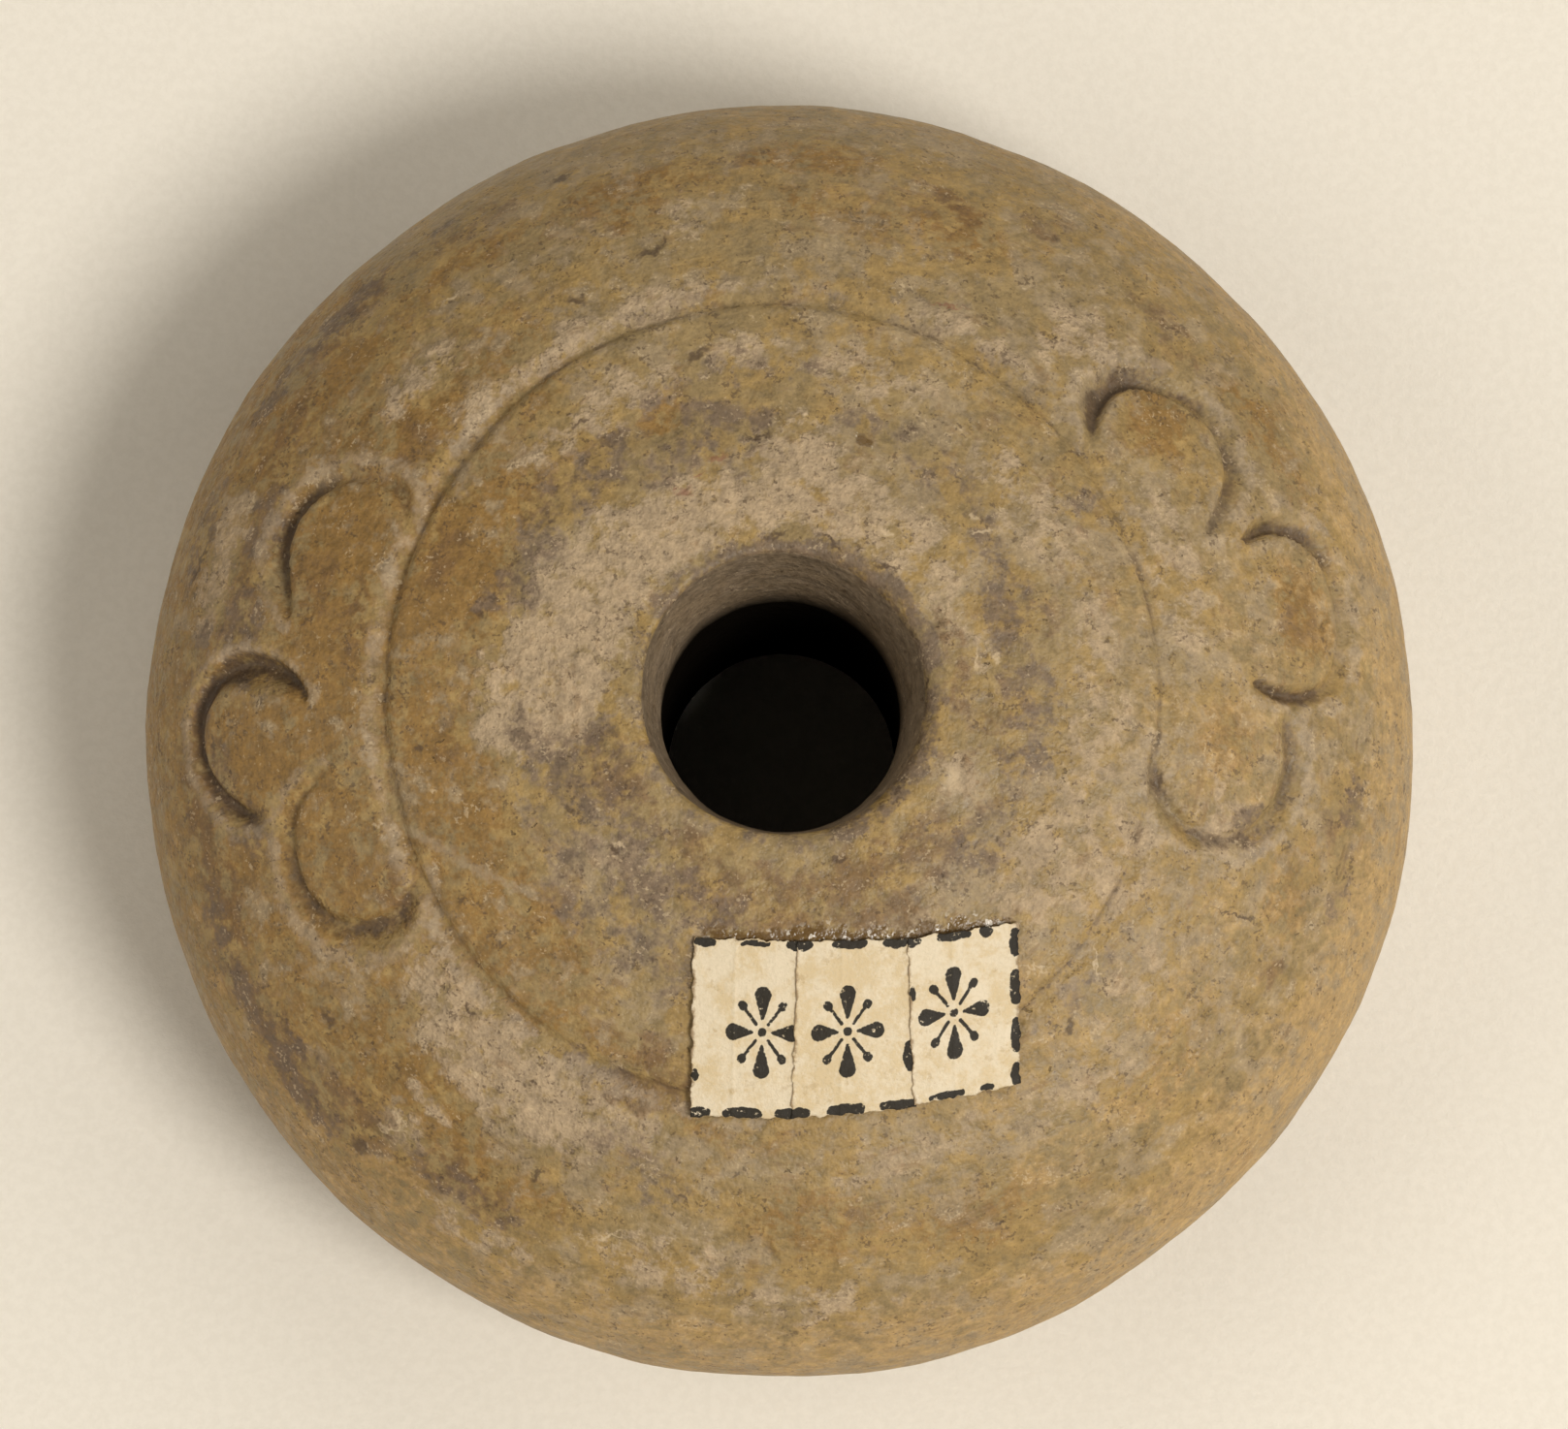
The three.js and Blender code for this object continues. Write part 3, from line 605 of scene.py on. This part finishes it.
# The pale dust colour also paints highlights on the slopes beside the grooves, and the dirt colour also
# paints shade in the grooves and scoops.
PALE_DUST_AND_HIGHLIGHT = (0.370, 0.275, 0.172, 1)
DIRT_AND_SHADE = (0.080, 0.046, 0.022, 1)
GLUE = (0.120, 0.066, 0.020, 1)
# The glue's glints are painted highlights.
PAINTED_GLUE_GLINT = (0.75, 0.68, 0.58, 1)
RED_EARTH = (0.210, 0.075, 0.040, 1)
CREAM = (0.600, 0.450, 0.270, 1)
# The bore's grey wall is painted shade, and its black is a painted shadow.
SHADED_WALL_GREY = (0.200, 0.145, 0.095, 1)
SHADOW_BLACK = (0.004, 0.003, 0.002, 1)

clay, tree, shader, in_mm = fresh_material("burnished_clay")
cloud = grains(tree, in_mm, 0.36, 3.0, 0.60)
drift = grains(tree, in_mm, 1.0, 3.0, 0.60)
mottle = grains(tree, in_mm, 2.6, 2.0, 0.60)
speckle = grains(tree, in_mm, 7.0, 1.0, 0.60)

# The burnishing strokes run round the whorl, so they are noise drawn out along the azimuth.
outward = add(tree, "ShaderNodeVectorMath", {0: in_mm, 1: (1, 1, 0)}, operation="MULTIPLY").outputs[0]
from_axis = add(tree, "ShaderNodeVectorMath", {0: outward}, operation="LENGTH").outputs["Value"]
up_axis = add(tree, "ShaderNodeSeparateXYZ", {0: in_mm}).outputs[2]
down_side = plus_part(tree, from_axis, up_axis, -0.8)
turned = add(tree, "ShaderNodeVectorMath", {0: outward}, operation="NORMALIZE").outputs[0]
lifted = add(tree, "ShaderNodeCombineXYZ", {2: times(tree, down_side, 0.20)}).outputs[0]
stroke_space = add(tree, "ShaderNodeVectorMath", {0: turned, 1: lifted}, operation="ADD").outputs[0]
streak = grains(tree, stroke_space, 12.0, 3.0, 0.62)

ragged = uneven(tree, 0.0, (drift[0], 1.0), (mottle[0], 0.5), (speckle[0], 0.15))


def worked(name, low, high, top=1.0, roughness=1.0):
    # A painted mask broken up by the mottling, but only where it has been painted.
    share = mask(tree, name)
    gate = spread(tree, share, 0.0, 0.35, roughness)
    return spread(tree, plus_part(tree, share, ragged, gate), low, high, top)


# The marks' edges wander, so they are placed in a slightly warped space.
warp = add(tree, "ShaderNodeTexNoise", {"Vector": in_mm, "Scale": 3.0}).outputs["Color"]
warp = add(tree, "ShaderNodeVectorMath", {0: warp, 1: (0.5, 0.5, 0.5)}, operation="SUBTRACT").outputs[0]
warp = add(tree, "ShaderNodeVectorMath", {0: warp, "Scale": 0.8}, operation="SCALE").outputs[0]
warped = add(tree, "ShaderNodeVectorMath", {0: in_mm, 1: warp}, operation="ADD").outputs[0]


def marks(spots, soft):
    total = 0.0
    for azimuth, radius, half_length, half_width, *slant in spots:
        turn = math.radians(azimuth + 90 + sum(slant))
        sockets = {"Vector": warped, "Location": Vector(on_dome(math.radians(azimuth), radius)),
                   "Scale": (half_length, half_width, 1.0), "Rotation": (0, 0, turn)}
        local = add(tree, "ShaderNodeMapping", sockets, vector_type="TEXTURE").outputs[0]
        away = add(tree, "ShaderNodeVectorMath", {0: local}, operation="LENGTH").outputs["Value"]
        inside = combine(tree, "SUBTRACT", 1.0, spread(tree, away, 1.0 - soft, 1.0 + soft))
        total = combine(tree, "MAXIMUM", total, inside)
    return total


# The clay itself: khaki to gold, with deep ochre, orange that is partly painted light on the lit side, a grey
# bloom and chalky wear.
ground = uneven(tree, 0.5, (cloud[1], 1.2), (drift[1], 0.6), (mottle[1], 0.2))
colour = blend(tree, spread(tree, ground, 0.10, 0.90), KHAKI, GOLD)
colour = blend(tree, worked("ochre", 0.10, 0.75, 0.95), colour, DEEP_OCHRE)
colour = blend(tree, worked("warm_and_lit", 0.05, 0.85, 0.90), colour, ORANGE_AND_LIT)
bloom = uneven(tree, 0.42, (cloud[0], 1.0), (drift[0], 1.0), (mottle[0], 0.35), (speckle[0], 0.10))
for name, weight in (("worn", 0.50), ("ochre", -0.50), ("warm_and_lit", -0.20)):
    bloom = plus_part(tree, bloom, mask(tree, name), weight)
colour = blend(tree, spread(tree, bloom, 0.20, 0.95, 0.85), colour, GREY_BLOOM)
colour = blend(tree, worked("worn", 0.15, 0.95, 0.90), colour, CHALKY)

# Soils, dust and dirt on it, with painted shade among the dirt and a painted highlight among the dust, and
# the grey wall of the bore.
umber = uneven(tree, 0.0, (streak[0], 0.6), (cloud[2], 0.5), (drift[2], 0.6))
colour = blend(tree, spread(tree, umber, 0.18, 0.70, 0.50), colour, BROWN_SOIL)
colour = blend(tree, worked("brown", 0.15, 1.15, 0.80), colour, BROWN_SOIL)
colour = blend(tree, worked("stain", 0.10, 1.10, 0.85), colour, GREY_SOIL)
colour = blend(tree, worked("dust_and_highlight", 0.15, 1.05, 0.60), colour, PALE_DUST_AND_HIGHLIGHT)
colour = blend(tree, worked("dirt_and_shade", 0.05, 1.10, 0.88, 0.6), colour, DIRT_AND_SHADE)
colour = blend(tree, worked("rim", 0.10, 0.90, 0.85), colour, GREY_SOIL)
# The bore's wall is painted a darker grey: painted shade.
colour = blend(tree, times(tree, mask(tree, "wall"), 0.85), colour, SHADED_WALL_GREY)

# Lighter and darker mottling, dark crumbs and pale frosting.
tone = uneven(tree, 1.0, (drift[2], 0.28), (mottle[2], 0.26), (speckle[2], 0.16), (streak[1], 0.10))
tone = add(tree, "ShaderNodeCombineColor", {0: tone, 1: tone, 2: tone}).outputs[0]
colour = blend(tree, 1.0, colour, tone, "MULTIPLY")
crumbs = uneven(tree, 0.5, (speckle[0], 0.9), (drift[1], 0.8), (mottle[1], 0.8))
colour = blend(tree, spread(tree, crumbs, 0.95, 1.40, 0.60), colour, DIRT_AND_SHADE)
frost = uneven(tree, 0.5, (speckle[1], 0.9), (drift[0], 0.6), (streak[2], 0.5))
colour = blend(tree, spread(tree, frost, 0.98, 1.35, 0.45), colour, CREAM)

# The glue with its painted glints, the single marks, and small round pits.
colour = blend(tree, worked("glue", 0.20, 0.90, 0.85), colour, GLUE)
painted_glint = times(tree, spread(tree, mottle[1], 0.86, 1.00), mask(tree, "glue"))
colour = blend(tree, times(tree, painted_glint, 0.8), colour, PAINTED_GLUE_GLINT)
colour = blend(tree, times(tree, marks(RED_MARKS, 0.6), 0.6), colour, RED_EARTH)
colour = blend(tree, times(tree, marks(CREAM_MARKS, 0.7), 0.5), colour, PALE_DUST_AND_HIGHLIGHT)
colour = blend(tree, times(tree, marks(PALE_MARKS, 0.6), 0.6), colour, CREAM)
colour = blend(tree, times(tree, marks(DARK_MARKS, 0.6), 0.8), colour, DIRT_AND_SHADE)
to_pit = add(tree, "ShaderNodeTexVoronoi", {"Vector": warped, "Scale": 0.9}).outputs["Distance"]
pits = combine(tree, "SUBTRACT", 1.0, spread(tree, to_pit, 0.04, 0.10))
pits = times(tree, pits, spread(tree, cloud[2], 0.35, 0.65))
colour = blend(tree, times(tree, pits, 0.6), colour, DIRT_AND_SHADE)
# The bore's depths are painted black: a painted shadow.
bore_shadow_share = mask(tree, "bore")
colour = blend(tree, times(tree, bore_shadow_share, 0.99), colour, SHADOW_BLACK)
tree.links.new(colour, shader.inputs["Base Color"])

gloss = uneven(tree, 0.58, (mottle[2], 0.20), (drift[0], 0.15))
gloss = combine(tree, "ADD", gloss, worked("worn", 0.2, 0.9, 0.15))
gloss = combine(tree, "SUBTRACT", gloss, worked("glue", 0.2, 0.8, 0.32))
tree.links.new(combine(tree, "MAXIMUM", gloss, bore_shadow_share), shader.inputs["Roughness"])
sheen = combine(tree, "SUBTRACT", 0.45, times(tree, bore_shadow_share, 0.45))
tree.links.new(sheen, shader.inputs["Specular IOR Level"])

height = uneven(tree, 0.0, (drift[2], 1.4), (mottle[2], 0.8), (speckle[2], 0.18), (streak[1], 0.4))
rough_part = times(tree, worked("worn", 0.2, 0.9), combine(tree, "ADD", mottle[0], mottle[1]))
height = combine(tree, "ADD", height, rough_part)
height = combine(tree, "SUBTRACT", height, times(tree, pits, 1.5))
bumps(tree, shader, height, 0.8, 0.00004)
whorl_mesh.materials.append(clay)

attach(whorl, "root")
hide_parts("clay_whorl")


# ---- The three paper slips ----
# Three small gummed slips of aged, hand-cut paper with a printed border of worn black dashes. They are
# stuck side by side over the near part of the circle, each lapping a little over the one to its left.

PAPER_LIFT = 0.06
PAPER_THICKNESS = 0.11
PAPER_STEP = 0.05
DASH_INSET = 0.14
CREASE_SHARE = 0.4
FLOWER_HALF_WIDTH = 1.35
FLOWER_HALF_HEIGHT = 1.75
FLOWER_EYE = 0.34

# Each stroke of the flower: where it starts and ends from the middle to the rim, and its two widths.
PETAL = ((0.30, 0.82, 0.12, 0.66),)
STALK = ((0.25, 0.75, 0.13, 0.13), (0.80, 0.84, 0.34, 0.34))

# The corners run from the top left one clockwise. The flower's middle is counted from that corner. A dash:
# its side, where it starts and ends along it, and its width.
SLIPS = {
    "paper_slip_left": dict(
        corners=((-3.41, -9.66), (0.74, -9.83), (0.51, -16.61), (-3.54, -16.52)), lap=0.0,
        flower=(2.75, 3.55), tint=0.0,
        dashes=(("top", 0.15, 0.75, 0.36), ("top", 1.9, 2.9, 0.20), ("top", 3.75, 4.2, 0.44),
                ("foot", 0.0, 0.6, 0.50), ("foot", 1.45, 2.65, 0.52), ("foot", 3.5, 4.2, 0.50),
                ("left", 5.1, 5.35, 0.30))),
    "paper_slip_middle": dict(
        corners=((0.64, -9.83), (5.06, -9.69), (5.29, -16.15), (0.41, -16.61)), lap=0.05,
        flower=(2.1, 3.5), tint=0.9,
        dashes=(("top", 0.0, 0.5, 0.44), ("top", 1.6, 2.75, 0.42), ("top", 3.7, 4.4, 0.46),
                ("foot", 0.0, 0.55, 0.46), ("foot", 1.5, 2.6, 0.46), ("foot", 3.45, 4.9, 0.38),
                ("right", 4.2, 5.0, 0.55))),
    "paper_slip_right": dict(
        corners=((4.96, -9.69), (9.32, -9.0), (9.41, -15.2), (5.19, -16.12)), lap=0.10,
        flower=(1.75, 3.1), tint=0.1,
        dashes=(("top", 0.0, 0.4, 0.42), ("top", 1.3, 2.35, 0.42), ("top", 3.0, 3.2, 0.48),
                ("right", 0.35, 1.15, 0.46), ("right", 2.0, 3.0, 0.50), ("right", 3.85, 4.9, 0.44),
                ("right", 5.6, 6.2, 0.46), ("foot", 0.75, 2.0, 0.32), ("foot", 2.85, 3.2, 0.30),
                ("left", 1.9, 2.3, 0.22))),
}


def dome_level(x, y):
    return level_at(np.hypot(x, y) / (1 - OVALITY * np.cos(2 * np.arctan2(y, x))))


def wave(x, y, scale, shift):
    places = np.stack([x / scale + shift, y / scale, 0 * x], -1).reshape(-1, 3)
    return np.array([noise.noise(Vector(p)) for p in places]).reshape(x.shape)


def stroke(ink, x, y, start, end, start_width, end_width):
    # A printed stroke with round ends, which may swell or taper along its length.
    run = np.subtract(end, start)
    t = np.clip(((x - start[0]) * run[0] + (y - start[1]) * run[1]) / max(np.dot(run, run), 1e-9), 0, 1)
    away = np.hypot(x - start[0] - t * run[0], y - start[1] - t * run[1])
    half = (start_width + (end_width - start_width) * t) / 2
    return np.maximum(ink, 1 - smooth(away - half, -0.05, 0.05))


def flower(ink, x, y, middle):
    # A printer's flower: four drop-shaped petals about a small eye, and a dot on a hairline between two.
    for quarter in range(4):
        for turn, strokes in ((90 * quarter, PETAL), (90 * quarter + 45, STALK)):
            reach_x = math.cos(math.radians(turn)) * FLOWER_HALF_WIDTH
            reach_y = math.sin(math.radians(turn)) * FLOWER_HALF_HEIGHT
            for start, end, start_width, end_width in strokes:
                near = (middle[0] + start * reach_x, middle[1] + start * reach_y)
                far = (middle[0] + end * reach_x, middle[1] + end * reach_y)
                ink = stroke(ink, x, y, near, far, start_width, end_width)
    return stroke(ink, x, y, middle, middle, FLOWER_EYE, FLOWER_EYE)


def print_dashes(ink, across, down, wide, tall, dashes):
    # Each dash is two strokes from its middle, and thins a little towards its ends.
    for side, start, end, width in dashes:
        if side in ("top", "foot"):
            inset = DASH_INSET if side == "top" else tall - DASH_INSET
            tips = ((start, inset), (end, inset))
        else:
            inset = DASH_INSET if side == "left" else wide - DASH_INSET
            tips = ((inset, start), (inset, end))
        middle = np.mean(tips, axis=0)
        for tip in tips:
            ink = stroke(ink, across, down, middle, tip, 1.1 * width, 0.75 * width)
    return ink


def paper_sheet(name, slip):
    (ax, ay), (bx, by), (cx, cy), (dx, dy) = slip["corners"]
    wide = (math.hypot(bx - ax, by - ay) + math.hypot(cx - dx, cy - dy)) / 2
    tall = (math.hypot(dx - ax, dy - ay) + math.hypot(cx - bx, cy - by)) / 2
    u, v = np.meshgrid(np.linspace(0, 1, int(wide / PAPER_STEP)), np.linspace(0, 1, int(tall / PAPER_STEP)))
    across = u * wide
    down = v * tall
    x = (1 - v) * ((1 - u) * ax + u * bx) + v * ((1 - u) * dx + u * cx)
    y = (1 - v) * ((1 - u) * ay + u * by) + v * ((1 - u) * dy + u * cy)
    # The cut edges are uneven: each side wanders and is nicked.
    nick = 0.10 * wave(x, y, 0.45, 5.0) + 0.05 * wave(x, y, 0.16, 9.0)
    x = x + nick * np.abs(2 * u - 1) ** 8
    y = y + nick * np.abs(2 * v - 1) ** 8

    ink = print_dashes(np.zeros_like(u), across, down, wide, tall, slip["dashes"])
    ink = flower(ink, across, down, slip["flower"])

    # The sheet ripples, is creased from top to foot, and curls up a little at its edges.
    from_crease = across - CREASE_SHARE * wide
    ripple = 0.03 * wave(x, y, 2.2, 2.0) + 0.012 * wave(x, y, 0.7, 7.0)
    ripple = ripple + 0.02 * np.exp(-(from_crease / 0.08) ** 2)
    curl = 0.03 * np.maximum(np.abs(2 * u - 1), np.abs(2 * v - 1)) ** 10
    upper = dome_level(x, y) + PAPER_LIFT + PAPER_THICKNESS + slip["lap"] + ripple + curl
    from_side = np.minimum(across, wide - across)
    from_edge = np.minimum(from_side, np.minimum(down, tall - down))
    # The edges are darkened, partly by soil and partly as painted shade where the slips lap.
    edge_soil_and_shade = np.exp(-from_side / 0.10) + 0.5 * np.exp(-from_edge / 0.10)

    top = np.stack([x, y, upper], -1).reshape(-1, 3)
    under = top - np.array([0, 0, PAPER_THICKNESS])
    index = np.arange(u.size).reshape(u.shape)
    quads = np.stack([index[1:, :-1], index[1:, 1:], index[:-1, 1:], index[:-1, :-1]], -1).reshape(-1, 4)
    border = np.concatenate([index[0, :], index[1:, -1], index[-1, -2::-1], index[-2:0:-1, 0]])
    after = np.roll(border, -1)
    walls = np.stack([border, after, after + u.size, border + u.size], -1)
    faces = np.vstack([quads, quads[:, ::-1] + u.size, walls])
    mesh = bpy.data.meshes.new(name)
    mesh.from_pydata((np.vstack([top, under]) * MM).tolist(), [], faces.tolist())
    mesh.shade_smooth()
    paint(mesh, "ink", np.concatenate([ink.ravel(), 0 * ink.ravel()]))
    paint(mesh, "edge", np.tile(edge_soil_and_shade.ravel(), 2))
    paint(mesh, "crease", np.tile(np.exp(-(from_crease / 0.05) ** 2).ravel(), 2))
    return mesh


CREAM_PAPER = (0.72, 0.60, 0.42, 1)
YELLOWED_PAPER = (0.64, 0.49, 0.28, 1)
THIN_PAPER = (0.60, 0.50, 0.33, 1)
FOXING = (0.42, 0.28, 0.12, 1)
# The edge stain is partly painted shade where the slips lap.
EDGE_STAIN_AND_SHADE = (0.25, 0.15, 0.06, 1)
PRINTING_INK = (0.013, 0.011, 0.009, 1)


def aged_paper(name, tint):
    paper, tree, shader, in_mm = fresh_material(name)
    fibres = grains(tree, in_mm, 7.0, 4.0, 0.7)
    blotch = grains(tree, in_mm, 0.8, 5.0, 0.65)
    fox = grains(tree, in_mm, 2.6, 4.0, 0.65)
    yellowing = uneven(tree, 0.35 + 0.3 * tint, (blotch[0], 1.0), (fox[0], 0.5), (fibres[0], 0.3))
    colour = blend(tree, spread(tree, yellowing, 0.1, 0.9), CREAM_PAPER, YELLOWED_PAPER)
    colour = blend(tree, spread(tree, fibres[1], 0.35, 1.0, 0.35), colour, THIN_PAPER)
    foxed = spread(tree, uneven(tree, fox[1], (blotch[1], 0.6)), 0.80, 1.15, 0.40)
    colour = blend(tree, foxed, colour, FOXING)
    # The edges are darkened, partly by soil and partly as painted shade where the slips lap, and so is the
    # crease.
    darkened_edge_and_crease = plus_part(tree, mask(tree, "edge"), mask(tree, "crease"), 0.30)
    darkened_edge_and_crease = times(tree, darkened_edge_and_crease, combine(tree, "ADD", fox[2], 0.15))
    colour = blend(tree, spread(tree, darkened_edge_and_crease, 0.20, 0.80, 0.80), colour, EDGE_STAIN_AND_SHADE)
    kept = uneven(tree, 0.80, (fibres[2], 0.7), (fox[0], 0.5))
    printed = spread(tree, times(tree, mask(tree, "ink"), kept), 0.25, 0.50, 0.97)
    colour = blend(tree, printed, colour, PRINTING_INK)
    tree.links.new(colour, shader.inputs["Base Color"])
    sheen = combine(tree, "SUBTRACT", 0.5, times(tree, printed, 0.35))
    tree.links.new(sheen, shader.inputs["Specular IOR Level"])
    gloss = combine(tree, "SUBTRACT", 0.62, times(tree, blotch[2], 0.15))
    tree.links.new(gloss, shader.inputs["Roughness"])
    surface = uneven(tree, 0.0, (fibres[0], 0.5), (fox[0], 1.0), (blotch[2], 2.0))
    bumps(tree, shader, surface, 0.7, 0.00002)
    return paper


for name, slip in SLIPS.items():
    slip_mesh = paper_sheet(name + "_printed", slip)
    slip_mesh.materials.append(aged_paper(name + "_paper", slip["tint"]))
    slip_piece = bpy.data.objects.new(name + "_printed", slip_mesh)
    bpy.context.collection.objects.link(slip_piece)
    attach(slip_piece, "root")
    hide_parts(name)


# ---- The table, the lights and the camera ----
# A sheet of plain pale paper. One soft lamp stands to the lower right, a little over half-way up, and four
# broad weak ones stand round the whorl and fill its shadows.

TABLE_HALF = 0.6
PALE_SHEET = (0.83, 0.77, 0.67, 1)
SHEET_HOLLOWS = (0.80, 0.74, 0.64, 1)
table_mesh = bpy.data.meshes.new("table")
table_corners = [(TABLE_HALF * x, TABLE_HALF * y, 0) for x, y in ((-1, -1), (1, -1), (1, 1), (-1, 1))]
table_mesh.from_pydata(table_corners, [], [(0, 1, 2, 3)])
table = bpy.data.objects.new("table", table_mesh)
bpy.context.collection.objects.link(table)
sheet, tree, shader, in_mm = fresh_material("pale_paper")
felt = grains(tree, in_mm, 2.4, 3.0, 0.65)
laid = uneven(tree, 0.5, (felt[0], 1.0), (felt[1], 0.5))
sheet_colour = blend(tree, spread(tree, laid, 0.0, 1.0), SHEET_HOLLOWS, PALE_SHEET)
tree.links.new(sheet_colour, shader.inputs["Base Color"])
bumps(tree, shader, laid, 0.5, 0.00002)
shader.inputs["Roughness"].default_value = 0.9
table_mesh.materials.append(sheet)

KEY_LIGHT = (1.0, 0.98, 0.94)
FILL_LIGHT = (1.0, 0.96, 0.88)
ROOM_LIGHT = (1.0, 0.97, 0.92, 1)
FILL_ELEVATION = 36
FILL_DISTANCE = 0.9
FILL_SIZE = 0.85


def soft_lamp(name, azimuth, elevation, distance, size, power, colour):
    lamp = bpy.data.lights.new(name, "AREA")
    lamp.shape = "DISK"
    lamp.size = size
    lamp.energy = power
    lamp.color = colour
    holder = bpy.data.objects.new(name, lamp)
    a = math.radians(azimuth)
    e = math.radians(elevation)
    away = Vector((math.cos(a) * math.cos(e), math.sin(a) * math.cos(e), math.sin(e)))
    holder.location = away * distance
    holder.rotation_euler = (-away).to_track_quat("-Z", "Y").to_euler()
    bpy.context.collection.objects.link(holder)


soft_lamp("key_lamp", -38, 56, 0.8, 0.27, 4.2, KEY_LIGHT)
for name, azimuth, power in (("left", 185, 2.7), ("far", 85, 2.0), ("near", 275, 1.6), ("right", 5, 2.4)):
    soft_lamp("fill_" + name, azimuth, FILL_ELEVATION, FILL_DISTANCE, FILL_SIZE, power, FILL_LIGHT)

world = bpy.data.worlds.new("studio")
world.use_nodes = True
room = world.node_tree.nodes["Background"]
room.inputs["Color"].default_value = ROOM_LIGHT
room.inputs["Strength"].default_value = 0.02
bpy.context.scene.world = world
bpy.context.scene.view_settings.view_transform = "Standard"

# The camera looks down from the near side, CAMERA_TILT degrees off the vertical.
CAMERA_TILT = 8.2
CAMERA_DISTANCE = 0.320
tilt = math.radians(CAMERA_TILT)
camera_data = bpy.data.cameras.new("camera")
camera_data.sensor_width = 36
camera_data.lens = 179.8
camera_data.clip_start = 0.01
camera = bpy.data.objects.new("camera", camera_data)
target = Vector((0.127, 0.921, GIRTH_LEVEL)) * MM
camera.location = target + Vector((0, -math.sin(tilt), math.cos(tilt))) * CAMERA_DISTANCE
camera.rotation_euler = (tilt, 0, 0)
bpy.context.collection.objects.link(camera)
bpy.context.scene.camera = camera
